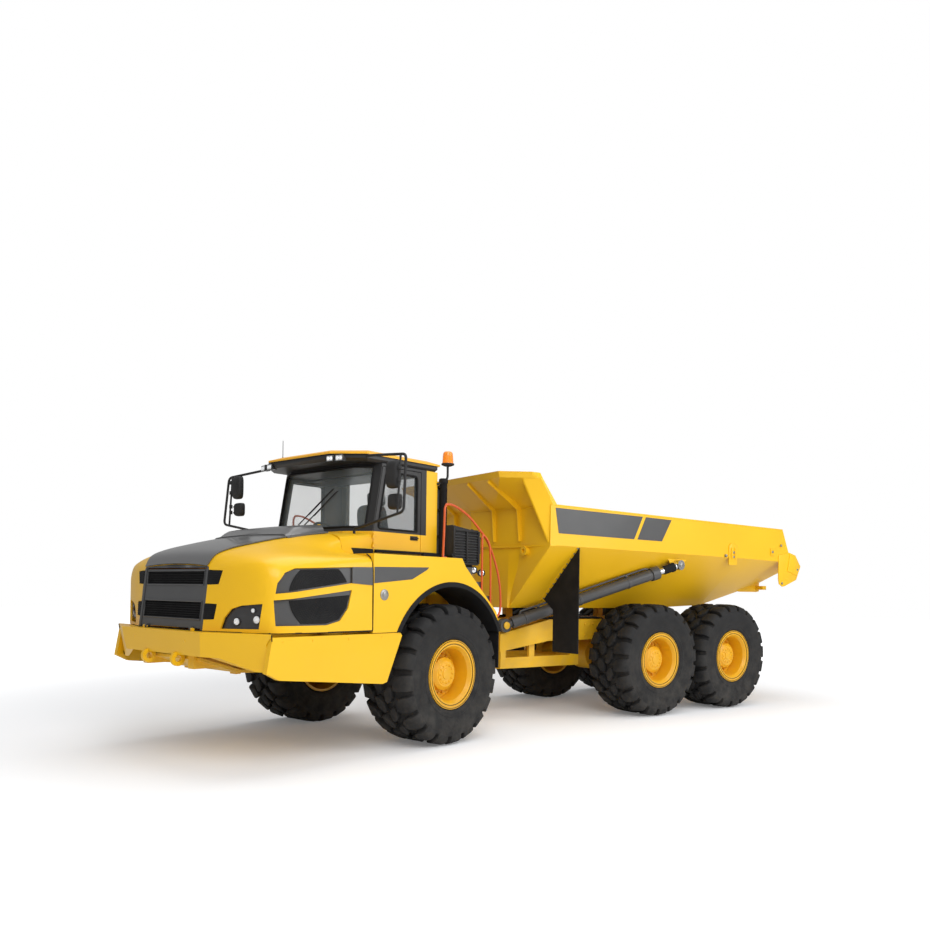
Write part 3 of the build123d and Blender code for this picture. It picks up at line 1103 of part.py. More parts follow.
# Hoist cylinders: each barrel turns on its ball at the frame, and its rod runs up to the body's side
for name, side in (("left", 1), ("right", -1)):
    low_pin = Vector(HOIST_LOW_PIN[0], side * HOIST_LOW_PIN[1], HOIST_LOW_PIN[2])
    high_pin = Vector(HOIST_HIGH_PIN[0], side * HOIST_HIGH_PIN[1], HOIST_HIGH_PIN[2])
    run = (high_pin - low_pin).normalized()
    mouth = low_pin + run * HOIST_BARREL_L
    with BuildPart() as hoist_barrel:
        rod(low_pin + run * 60, mouth, HOIST_NECK_R)
        rod(low_pin + run * HOIST_NECK_L, mouth, HOIST_BARREL_R)
        with BuildSketch(Plane(origin=low_pin, z_dir=(0, 1, 0))):
            Circle(HOIST_EYE_R)
        extrude(amount=HOIST_EYE_W / 2, both=True)
        with Locations(low_pin):
            Sphere(HOIST_BALL_R + RUNNING_GAP, mode=Mode.SUBTRACT)
        rod(low_pin + run * 160, mouth + run * 10, HOIST_ROD_R + RUNNING_GAP, mode=Mode.SUBTRACT)
    keep(hoist_barrel, f"hoist_barrel_{name}", REAR)
    with BuildPart() as hoist_rod:
        rod(low_pin + run * 175, high_pin - run * HOIST_ROD_EYE_R * 0.6, HOIST_ROD_R)
        with BuildSketch(Plane(origin=high_pin, z_dir=(0, 1, 0))):
            Circle(HOIST_ROD_EYE_R)
        extrude(amount=HOIST_EYE_W / 2, both=True)
    keep(hoist_rod, f"hoist_rod_{name}", REAR)
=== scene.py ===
"""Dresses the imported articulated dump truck: paints, tyres, glass, lamps and fittings.

Sizes are in metres. Each unit of the truck is drawn in its own axes, with x forward from the steering
hinge, y to the left and z up, and its matrix puts a piece where it stands.
"""

from __future__ import annotations

import json
import logging
import math
from collections.abc import Callable, Iterable, Sequence
from dataclasses import dataclass, field
from enum import Enum

import bmesh
import bpy
from mathutils import Matrix, Vector

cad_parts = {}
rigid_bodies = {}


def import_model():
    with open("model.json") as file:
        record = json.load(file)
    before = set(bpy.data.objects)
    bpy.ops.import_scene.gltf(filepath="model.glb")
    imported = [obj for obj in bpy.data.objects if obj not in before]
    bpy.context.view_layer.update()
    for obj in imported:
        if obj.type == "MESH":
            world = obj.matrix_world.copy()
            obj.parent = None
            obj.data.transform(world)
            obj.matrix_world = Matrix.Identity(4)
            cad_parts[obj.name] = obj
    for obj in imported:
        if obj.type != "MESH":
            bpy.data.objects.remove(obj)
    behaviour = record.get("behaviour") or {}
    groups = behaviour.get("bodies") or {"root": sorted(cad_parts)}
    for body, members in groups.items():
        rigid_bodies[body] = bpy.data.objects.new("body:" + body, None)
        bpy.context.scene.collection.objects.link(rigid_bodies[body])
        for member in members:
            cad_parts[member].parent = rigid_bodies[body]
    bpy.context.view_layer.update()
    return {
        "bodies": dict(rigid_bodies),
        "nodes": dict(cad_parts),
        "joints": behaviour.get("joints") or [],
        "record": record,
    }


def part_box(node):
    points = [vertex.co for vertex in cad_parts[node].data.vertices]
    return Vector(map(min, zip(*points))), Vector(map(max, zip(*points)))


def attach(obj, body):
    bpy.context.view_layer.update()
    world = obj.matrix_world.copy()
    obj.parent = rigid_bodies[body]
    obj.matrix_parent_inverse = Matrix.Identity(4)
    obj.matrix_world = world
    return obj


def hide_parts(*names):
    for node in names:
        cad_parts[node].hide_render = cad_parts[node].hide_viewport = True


log = logging.getLogger("dump_truck")
Point = tuple[float, float, float]
Flat = tuple[float, float]
Outline = Sequence[Flat]
Colour = tuple[float, float, float]
Socket = bpy.types.NodeSocket
Piece = bpy.types.Object
Vert = bmesh.types.BMVert
FORWARD, LEFT, UP = Vector((1, 0, 0)), Vector((0, 1, 0)), Vector((0, 0, 1))
SIDES = (-1, 1)
TIP = 0.0005  # the radius at which a turned shape's tip is closed


class Body(str, Enum):
    """The moving bodies that pieces ride on."""

    FRONT = "front_unit_body"
    REAR = "rear_unit_body"
    HOOD = "hood_body"
    GRILLE = "grille_body"
    DOOR = "door_body"
    LOAD = "load_body"


class Slot(str, Enum):
    """The record's material slots that are passed along with new pieces."""

    YELLOW = "yellow_paint"
    GREY = "grey_paint"
    PLASTIC = "black_plastic"
    PANEL = "dark_panel"
    TYRE = "tyre"
    RUBBER = "rubber"
    GLASS = "glass"
    STEEL = "steel"
    ORANGE = "orange_paint"
    LAMP = "lamp"
    AMBER = "amber"
    CLOTH = "seat_cloth"


@dataclass(frozen=True)
class Unit:
    """One unit's place: the matrix from its own axes to the row frame."""

    matrix: Matrix


class Nodes:
    """Short calls for building one node tree."""

    def __init__(self, tree: bpy.types.NodeTree) -> None:
        """Keep the tree that the calls add to."""
        self.tree = tree

    def put(self, socket: Socket, value: object) -> None:
        """Link a socket to another node's output, or set its value.

        Args:
            socket: The input.
            value: The output to link, or a constant.
        """
        if isinstance(value, bpy.types.NodeSocket):
            self.tree.links.new(value, socket)
        else:
            socket.default_value = value

    def add(self, kind: str, *inputs: object, **values: object) -> bpy.types.Node:
        """Add a node, with its properties and with values or links at its sockets.

        Args:
            kind: The node's type name.
            inputs: What goes into the first sockets, in order.
            values: Property names, or socket names with spaces written as underscores.

        Returns:
            The new node.
        """
        node = self.tree.nodes.new(kind)
        for name, value in values.items():
            if hasattr(node, name):
                setattr(node, name, value)
            else:
                self.put(node.inputs[name.replace("_", " ")], value)
        for socket, value in zip(node.inputs, inputs):
            self.put(socket, value)
        return node

    def math(self, operation: str, *inputs: object) -> Socket:
        """The result of a sum on values and outputs."""
        return self.add("ShaderNodeMath", *inputs, operation=operation).outputs[0]

    def mix(self, share: object, one: object, other: object) -> Socket:
        """A colour between two colours.

        Args:
            share: How much of the second colour.
            one: First colour.
            other: Second colour.

        Returns:
            The mixed colour.
        """
        node = self.add("ShaderNodeMix", share, data_type="RGBA")
        self.put(node.inputs[6], one)
        self.put(node.inputs[7], other)
        return node.outputs[2]

    def place(self) -> Socket:
        """The place of a surface's point in its object's axes."""
        return self.add("ShaderNodeTexCoord").outputs["Object"]

    def end(self, *results: Socket) -> bpy.types.NodeTree:
        """Send the results out of the group and give its tree."""
        self.add("NodeGroupOutput", *results)
        return self.tree


class Effects:
    """Shader node groups that several finishes share."""

    def __init__(self) -> None:
        """Build every group once."""
        self.mottle = self._mottle()
        self.dust = self._dust()
        self.peel = self._peel()

    @staticmethod
    def _group(name: str, inputs: dict[str, object], outputs: dict[str, str]) -> tuple[Nodes, Callable[[str], Socket]]:
        """Start a group with named sockets.

        Args:
            name: The group's name.
            inputs: Socket name to its default, a colour or a number.
            outputs: Socket name to its type.

        Returns:
            The group's tree, ready for nodes, and a function that gives an input by its name.
        """
        tree = bpy.data.node_groups.new(name, "ShaderNodeTree")
        for label, value in inputs.items():
            kind = "NodeSocketColor" if isinstance(value, tuple) else "NodeSocketFloat"
            tree.interface.new_socket(label, in_out="INPUT", socket_type=kind).default_value = value
        for label, kind in outputs.items():
            tree.interface.new_socket(label, in_out="OUTPUT", socket_type=f"NodeSocket{kind}")
        n = Nodes(tree)
        return n, n.add("NodeGroupInput").outputs.__getitem__

    def _mottle(self) -> bpy.types.NodeTree:
        """A noise that shifts a colour a little over the surface.

        Returns:
            The node group.
        """
        n, given = self._group(
            "Paint mottle", {"Colour": (0.8, 0.5, 0.05, 1), "Shade": (0.6, 0.4, 0.04, 1), "Scale": 1.5, "Amount": 0.3},
            {"Colour": "Color", "Mask": "Float"})
        broad = n.add("ShaderNodeTexNoise", Vector=n.place(), Scale=given("Scale"), Detail=3.0, Roughness=0.55)
        ramp = n.add("ShaderNodeMapRange", broad.outputs["Fac"], From_Min=0.35, From_Max=0.7)
        part = n.math("MULTIPLY", ramp.outputs["Result"], given("Amount"))
        return n.end(n.mix(part, given("Colour"), given("Shade")), part)

    def _dust(self) -> bpy.types.NodeTree:
        """Dust that thins out upwards from the ground and lies in patches.

        Returns:
            The node group.
        """
        n, given = self._group(
            "Ground dust", {"Colour": (0.5, 0.5, 0.5, 1), "Dust": (0.3, 0.27, 0.23, 1), "Top": 1.6, "Amount": 0.2},
            {"Colour": "Color", "Mask": "Float"})
        place = n.place()
        split = n.add("ShaderNodeSeparateXYZ", place)
        height = n.add("ShaderNodeMapRange", split.outputs["Z"], From_Min=0.0, To_Min=1.0, To_Max=0.0,
                       From_Max=given("Top"))
        noise = n.add("ShaderNodeTexNoise", Vector=place, Scale=7.0, Detail=6.0, Roughness=0.65)
        patch = n.add("ShaderNodeMapRange", noise.outputs["Fac"], From_Min=0.38, From_Max=0.72)
        part = n.math("MULTIPLY", height.outputs["Result"], patch.outputs["Result"])
        much = n.math("MULTIPLY", part, given("Amount"))
        return n.end(n.mix(much, given("Colour"), given("Dust")), much)

    def _peel(self) -> bpy.types.NodeTree:
        """Fine unevenness of sprayed paint, rubber or moulded plastic, as a height and a roughness.

        Returns:
            The node group.
        """
        n, given = self._group("Fine grain", {"Scale": 60.0, "Roughness": 0.35, "Spread": 0.1},
                               {"Height": "Float", "Roughness": "Float"})
        place = n.place()
        fine = n.add("ShaderNodeTexNoise", Vector=place, Scale=given("Scale"), Detail=2.0)
        broad = n.add("ShaderNodeTexNoise", Vector=place, Scale=2.2, Detail=5.0)
        part = n.math("MULTIPLY", n.math("SUBTRACT", broad.outputs["Fac"], 0.5), given("Spread"))
        return n.end(fine.outputs["Fac"], n.math("ADD", part, given("Roughness")))


@dataclass(frozen=True)
class Finish:
    """One finish: its colour, how it varies and how it shines."""

    name: str
    colour: Colour
    shade: Colour
    roughness: float = 0.4
    spread: float = 0.12
    mottle: float = 0.3
    mottle_scale: float = 1.4
    dust: float = 0.0
    dust_top: float = 1.4
    grain: float = 60.0
    bump: float = 0.02
    metallic: float = 0.0
    coat: float = 0.0
    specular: float = 0.5
    above: Colour | None = None
    split_z: float = 0.0
    split_x: float | None = None
    inner_y: float = 0.84

    def build(self, effects: Effects, unit: Unit) -> bpy.types.Material:
        """Make the material from the shared effects.

        Args:
            effects: The shader groups.
            unit: The front unit, whose axes a split uses.

        Returns:
            The finished material.
        """
        material, shader, n = blank_material(self.name)
        for label, value in (("Metallic", self.metallic), ("Coat Weight", self.coat), ("Coat Roughness", 0.08),
                             ("Specular IOR Level", self.specular)):
            shader.inputs[label].default_value = value
        mottle = n.add("ShaderNodeGroup", node_tree=effects.mottle, Colour=(*self.colour, 1), Shade=(*self.shade, 1),
                       Scale=self.mottle_scale, Amount=self.mottle)
        last = mottle.outputs["Colour"]
        if self.above is not None:
            last = self._split(n, last, unit)
        if self.dust:
            dust = n.add("ShaderNodeGroup", node_tree=effects.dust, Top=self.dust_top, Amount=self.dust, Colour=last)
            last = dust.outputs["Colour"]
        n.put(shader.inputs["Base Color"], last)
        grain = n.add("ShaderNodeGroup", node_tree=effects.peel, Scale=self.grain, Roughness=self.roughness,
                      Spread=self.spread)
        n.put(shader.inputs["Roughness"], grain.outputs["Roughness"])
        bump = n.add("ShaderNodeBump", Strength=self.bump, Distance=0.002, Height=grain.outputs["Height"])
        n.put(shader.inputs["Normal"], bump.outputs["Normal"])
        return material

    def _split(self, n: Nodes, lower: Socket, unit: Unit) -> Socket:
        """Give the piece another colour above a height, and inside or before a place if there is one.

        Args:
            n: The material's tree.
            lower: The colour below the height.
            unit: The front unit.

        Returns:
            The colour over the whole piece.
        """
        place = n.place()
        share = n.math("GREATER_THAN", n.add("ShaderNodeSeparateXYZ", place).outputs["Z"], self.split_z)
        if self.split_x is not None:
            turn, origin = unit.matrix.to_3x3(), unit.matrix.translation
            ahead, aside = turn @ FORWARD, turn @ LEFT
            reach, width = (n.add("ShaderNodeVectorMath", place, way, operation="DOT_PRODUCT").outputs["Value"]
                            for way in (ahead, aside))
            front = n.math("GREATER_THAN", reach, ahead.dot(origin) + self.split_x)
            inside = n.math("COMPARE", width, aside.dot(origin), self.inner_y)
            share = n.math("MULTIPLY", share, n.math("MAXIMUM", front, inside))
        return n.mix(share, lower, (*self.above, 1))


@dataclass(frozen=True)
class Glazing:
    """Clear or tinted glass, a lamp's lens, or a mirror face whose pale colour is a painted reflection."""

    name: str
    colour: Colour
    roughness: float = 0.03
    clear: float = 0.85
    glow: float = 0.0

    def build(self, effects: Effects, unit: Unit) -> bpy.types.Material:
        """Make the glass from a tinted, partly see-through shader.

        Args:
            effects: The shader groups.
            unit: The front unit, which glass doesn't use.

        Returns:
            The finished material.
        """
        material, shader, n = blank_material(self.name)
        shader.inputs["IOR"].default_value = 1.45
        shader.inputs["Coat Weight"].default_value = 0.4
        mottle = n.add("ShaderNodeGroup", node_tree=effects.mottle, Colour=(*self.colour, 1),
                       Shade=(*(c * 0.8 for c in self.colour), 1), Amount=0.25)
        n.put(shader.inputs["Base Color"], mottle.outputs["Colour"])
        grain = n.add("ShaderNodeGroup", node_tree=effects.peel, Roughness=self.roughness + 0.02, Spread=0.03)
        n.put(shader.inputs["Roughness"], grain.outputs["Roughness"])
        shader.inputs["Alpha"].default_value = 1.0 - self.clear
        if self.glow:
            shader.inputs["Emission Color"].default_value = (*self.colour, 1)
            shader.inputs["Emission Strength"].default_value = self.glow
        return material


def blank_material(name: str) -> tuple[bpy.types.Material, bpy.types.Node, Nodes]:
    """A new material with its shader and its tree.

    Args:
        name: The material's name.

    Returns:
        The material, its Principled BSDF and its tree, ready for nodes.
    """
    material = bpy.data.materials.new(name)
    material.use_nodes = True
    return material, material.node_tree.nodes["Principled BSDF"], Nodes(material.node_tree)


YELLOW: Colour = (0.87, 0.5, 0.008)
YELLOW_SHADE: Colour = (0.8, 0.44, 0.007)


class Palette:
    """Every finish on the truck, built once."""

    def __init__(self, unit: Unit) -> None:
        """Build the effects and all materials.

        Args:
            unit: The front unit, whose axes some finishes use.
        """
        effects = Effects()
        # name, colour, shade, roughness, spread, mottle, mottle scale, dust, dust top
        table = (
            Finish("Yellow gloss paint", YELLOW, YELLOW_SHADE, 0.36, 0.1, 0.35, 0.9, 0.12, 1.0, coat=0.1,
                   specular=0.35),
            Finish("Yellow body paint", YELLOW, YELLOW_SHADE, 0.42, 0.16, 0.45, 0.7, 0.1, 1.8, coat=0.08,
                   specular=0.35),
            Finish("Yellow frame paint", YELLOW, (0.66, 0.34, 0.01), 0.45, 0.15, 0.5, 2.5, 0.3, 1.6),
            Finish("Yellow wheel paint", (0.8, 0.42, 0.006), (0.72, 0.36, 0.006), 0.38, 0.12, 0.35, 6.0, 0.12, 1.4,
                   coat=0.1),
            Finish("Cab shell paint", YELLOW, YELLOW_SHADE, 0.36, 0.1, 0.3, 0.9, above=(0.014, 0.014, 0.015),
                   split_z=2.405, split_x=1.06),
            Finish("Charcoal paint", (0.055, 0.056, 0.058), (0.07, 0.07, 0.072), 0.42, 0.12, 0.5, 3.0, 0.1, 1.2,
                   coat=0.1),
            Finish("Hood top paint", (0.105, 0.106, 0.108), (0.09, 0.091, 0.093), 0.33, 0.08, 0.5, 2.0, coat=0.45),
            Finish("Black moulded plastic", (0.022, 0.022, 0.023), (0.034, 0.034, 0.035), 0.55, 0.15, 0.6, 8.0,
                   0.04, 1.6, grain=400.0, bump=0.12, specular=0.25),
            Finish("Tyre rubber", (0.016, 0.016, 0.017), (0.026, 0.026, 0.026), 0.72, 0.15, 0.8, 5.0, 0.14, 1.5,
                   grain=180.0, bump=0.25, specular=0.22),
            # Black rubber, and also the black fill that paints shade in gaps, a groove and openings
            Finish("Black rubber", (0.013, 0.013, 0.014), (0.022, 0.022, 0.022), 0.7, 0.15, 0.7, 5.0, 0.06, 1.5,
                   grain=220.0, bump=0.2, specular=0.12),
            Finish("Polished rod steel", (0.62, 0.62, 0.63), (0.5, 0.5, 0.5), 0.18, 0.06, 0.4, 5.0, metallic=1.0),
            Finish("Bolt steel", (0.35, 0.35, 0.34), (0.25, 0.24, 0.22), 0.4, 0.15, 0.7, 30.0, metallic=0.9),
            Finish("Orange rail paint", (0.62, 0.085, 0.006), (0.54, 0.075, 0.006), 0.35, 0.1, 0.4, 4.0, coat=0.2),
            Finish("Roof paint", (0.018, 0.018, 0.019), (0.024, 0.024, 0.025), 0.4, 0.1, 0.3, 1.2,
                   above=(0.9, 0.44, 0.012), split_z=3.249),
            Finish("Cushion cloth", (0.035, 0.036, 0.038), (0.05, 0.05, 0.052), 0.9, 0.05, 0.7, 30.0,
                   grain=900.0, bump=0.5, specular=0.2),
            Finish("Lamp housing", (0.03, 0.03, 0.032), (0.05, 0.05, 0.052), 0.25, 0.08, 0.4, 12.0, coat=0.3),
            Finish("Lamp reflector", (0.82, 0.83, 0.84), (0.7, 0.71, 0.72), 0.12, 0.05, 0.4, 25.0, metallic=0.9),
            Glazing("Cab window glass", (0.42, 0.48, 0.49), 0.02, 0.86),
            Glazing("Tinted window glass", (0.1, 0.115, 0.12), 0.02, 0.62),
            Glazing("Headlight lens", (0.88, 0.9, 0.92), 0.03, 0.5, 0.25),
            Glazing("Lamp lens", (0.9, 0.92, 0.94), 0.05, 0.3, 0.35),
            Glazing("Amber lens", (0.95, 0.28, 0.01), 0.1, 0.1, 0.12),
            # The mirror face's pale blue-grey base colour is a painted reflection, not a metal mirror.
            Glazing("Mirror face", (0.55, 0.6, 0.62), 0.02, 0.0),
        )
        self.materials = {finish.name: finish.build(effects, unit) for finish in table}
        log.info("finishes: %d", len(self.materials))

    def __getitem__(self, name: str) -> bpy.types.Material:
        """A material by its finish's name."""
        return self.materials[name]


class Pen:
    """Adds shapes to one mesh, in a unit's own axes."""

    def __init__(self) -> None:
        """Start an empty mesh."""
        self.bm = bmesh.new()

    def rows(self, sections: Iterable[Iterable[Point]]) -> list[list[Vert]]:
        """Vertices at rows of points."""
        return [[self.bm.verts.new(point) for point in section] for section in sections]

    def join(self, rows: Sequence[Sequence[Vert]], closed: bool = True) -> None:
        """Join neighbouring rows of equal length with faces.

        Args:
            rows: Rows of vertices.
            closed: Whether each row closes on itself.
        """
        for near, far in zip(rows, rows[1:]):
            count = len(near)
            for i in range(count if closed else count - 1):
                j = (i + 1) % count
                self.bm.faces.new((near[i], near[j], far[j], far[i]))

    def cap(self, rows: Sequence[Sequence[Vert]]) -> None:
        """Close both ends of a row of rings."""
        self.bm.faces.new(rows[0])
        self.bm.faces.new(tuple(reversed(rows[-1])))

    def solid(self, sections: Iterable[Iterable[Point]]) -> None:
        """A closed solid through like sections.

        Args:
            sections: The sections in their order.
        """
        rows = self.rows(sections)
        self.join(rows)
        self.cap(rows)

    def prism(self, outline: Outline, axis: str, low: float, high: float) -> None:
        """A straight prism from an outline in the two other axes.

        Args:
            outline: Corners, in x-z for axis y, x-y for axis z and y-z for axis x.
            axis: The prism's axis: x, y or z.
            low: Where it starts along the axis.
            high: Where it ends.
        """
        self.solid([[{"x": (w, u, v), "y": (u, w, v), "z": (u, v, w)}[axis] for u, v in outline] for w in (low, high)])

    def plates(self, outline: Outline, near: float, far: float) -> None:
        """A plate a side, between two distances from the middle plane."""
        for side in SIDES:
            self.prism(outline, "y", *sorted((side * near, side * far)))

    def box(self, low: Point, high: Point) -> None:
        """A box between two corners."""
        corners = ((low[0], low[1]), (high[0], low[1]), (high[0], high[1]), (low[0], high[1]))
        self.prism(corners, "z", low[2], high[2])

    def boxes(self, low: Point, high: Point) -> None:
        """A box a side, between two corners of the left one.

        Args:
            low: Lower corner on the left side.
            high: Upper corner on the left side.
        """
        for side in SIDES:
            near, far = sorted((side * low[1], side * high[1]))
            self.box((low[0], near, low[2]), (high[0], far, high[2]))

    def lathe(self, profile: Outline, centre: Point, axis: Vector = UP, sides: int = 48, closed: bool = True) -> None:
        """A turned shape round an axis.

        Args:
            profile: Pairs of distance along the axis and radius.
            centre: The point on the axis where the distance is zero.
            axis: The axis' direction.
            sides: How many sides a circle gets.
            closed: Whether the profile is a closed section.
        """
        turn = axis.to_track_quat("Z", "Y").to_matrix()
        angles = [2 * math.pi * i / sides for i in range(sides)]
        rows = self.rows([Vector(centre) + turn @ Vector((radius * math.cos(a), radius * math.sin(a), along))
                          for a in angles] for along, radius in profile)
        self.join([*rows, rows[0]] if closed else rows)
        if not closed:
            self.cap(rows)

    def disc(self, centre: Point, axis: Vector, radius: float, depth: float, edge: float = 0.0,
             sides: int = 32) -> None:
        """A short cylinder whose far rim is eased.

        Args:
            centre: The middle of its near face.
            axis: Its direction.
            radius: Its radius.
            depth: Its height along the axis.
            edge: The ease of its far rim.
            sides: How many sides a circle gets.
        """
        profile = [(0.0, radius), (depth - edge, radius)]
        if edge:
            profile += [(depth - edge * 0.3, radius - edge * 0.3), (depth, radius - edge)]
        self.lathe(profile, centre, axis, sides, closed=False)

    def pipe(self, route: Sequence[Point], radius: float, sides: int = 12, bend: float = 0.0, ease: int = 6) -> None:
        """A pipe along a route, with rounded corners.

        Args:
            route: Its points.
            radius: Its radius.
            sides: How many sides it has.
            bend: How far from a corner its rounding starts.
            ease: How many steps a corner takes.
        """
        points = [Vector(p) for p in route]
        path = [points[0]]
        for before, corner, after in zip(points, points[1:], points[2:]):
            reach = min(bend, (corner - before).length * 0.48, (after - corner).length * 0.48)
            if reach <= 0:
                path.append(corner)
                continue
            start = corner + (before - corner).normalized() * reach
            end = corner + (after - corner).normalized() * reach
            for step in range(ease + 1):
                t = step / ease
                path.append(start * (1 - t) ** 2 + corner * 2 * t * (1 - t) + end * t ** 2)
        path.append(points[-1])
        rings = []
        side = None
        for i, point in enumerate(path):
            ahead = (path[min(i + 1, len(path) - 1)] - path[max(i - 1, 0)]).normalized()
            if side is None:
                side = ahead.orthogonal().normalized()
            side = (side - ahead * side.dot(ahead)).normalized()
            other = ahead.cross(side)
            rings.append([point + (side * math.cos(a) + other * math.sin(a)) * radius
                          for a in (2 * math.pi * k / sides for k in range(sides))])
        self.solid(rings)

    def skin(self, points: Sequence[Sequence[Point]], thickness: float) -> None:
        """A curved plate through rows of points, with its thickness towards its inside.

        Args:
            points: Rows of points with equal length.
            thickness: The plate's thickness.
        """
        grid = [[Vector(p) for p in row] for row in points]
        outer = self.rows(grid)
        inner = self.rows([p - n * thickness for p, n in zip(row, normals)]
                          for row, normals in zip(grid, directions(grid)))
        self.join(outer, closed=False)
        self.join([row[::-1] for row in inner], closed=False)
        self.join([rows[0] + [row[-1] for row in rows[1:]] + rows[-1][-2::-1] + [row[0] for row in rows[-2:0:-1]]
                   for rows in (outer, inner)])


def directions(grid: Sequence[Sequence[Vector]]) -> list[list[Vector]]:
    """The surface's direction at every point of a grid.

    Args:
        grid: Rows of points with equal length.

    Returns:
        A direction for each point.
    """
    last_row, last = len(grid) - 1, len(grid[0]) - 1
    return [[(grid[min(i + 1, last_row)][j] - grid[max(i - 1, 0)][j]).cross(
        row[min(j + 1, last)] - row[max(j - 1, 0)]).normalized() for j in range(last + 1)]
            for i, row in enumerate(grid)]


class Repeats:
    """Geometry Nodes trees that repeat a small mesh round an axis or along a line."""

    def __init__(self) -> None:
        """Build both trees once."""
        self.ring = self._ring()
        self.row = self._row()

    @staticmethod
    def _start(name: str, **inputs: tuple[str, object]) -> tuple[Nodes, Callable[[str], Socket]]:
        """Start a tree with geometry in and out and named inputs.

        Args:
            name: The tree's name.
            inputs: Socket type and default of each input.

        Returns:
            The tree, ready for nodes, and a function that gives an input by its name.
        """
        tree = bpy.data.node_groups.new(name, "GeometryNodeTree")
        tree.interface.new_socket("Geometry", in_out="INPUT", socket_type="NodeSocketGeometry")
        tree.interface.new_socket("Geometry", in_out="OUTPUT", socket_type="NodeSocketGeometry")
        for label, (kind, value) in inputs.items():
            tree.interface.new_socket(label, in_out="INPUT", socket_type=f"NodeSocket{kind}").default_value = value
        tree.interface.new_socket("Material", in_out="INPUT", socket_type="NodeSocketMaterial")
        n = Nodes(tree)
        return n, n.add("NodeGroupInput").outputs.__getitem__

    @staticmethod
    def _close(n: Nodes, given: Callable[[str], Socket], geometry: Socket) -> bpy.types.NodeTree:
        """Realize the copies, set their material and end the tree.

        Args:
            n: The tree.
            given: Gives an input by its name.
            geometry: The copies.

        Returns:
            The finished tree.
        """
        real = n.add("GeometryNodeRealizeInstances", geometry)
        paint = n.add("GeometryNodeSetMaterial", Geometry=real.outputs[0], Material=given("Material"))
        return n.end(paint.outputs[0])

    def _ring(self) -> bpy.types.NodeTree:
        """Copies turned evenly about the y axis through the origin.

        Returns:
            The node group.
        """
        n, given = self._start("Ring repeat", Count=("Int", 12), Phase=("Float", 0.0))
        points = n.add("GeometryNodePoints", Count=given("Count"))
        share = n.math("DIVIDE", n.add("GeometryNodeInputIndex").outputs[0], given("Count"))
        angle = n.math("MULTIPLY_ADD", share, 2 * math.pi, given("Phase"))
        turn = n.add("ShaderNodeCombineXYZ", Y=angle)
        copies = n.add("GeometryNodeInstanceOnPoints", Points=points.outputs[0], Instance=given("Geometry"),
                       Rotation=turn.outputs[0])
        return self._close(n, given, copies.outputs[0])

    def _row(self) -> bpy.types.NodeTree:
        """Copies set off evenly along a step.

        Returns:
            The node group.
        """
        n, given = self._start("Row repeat", Count=("Int", 8), Step=("Vector", (0.1, 0.0, 0.0)))
        line = n.add("GeometryNodeMeshLine", mode="OFFSET", Count=given("Count"), Offset=given("Step"))
        copies = n.add("GeometryNodeInstanceOnPoints", Points=line.outputs[0], Instance=given("Geometry"))
        return self._close(n, given, copies.outputs[0])


Draw = Callable[[Pen], None]


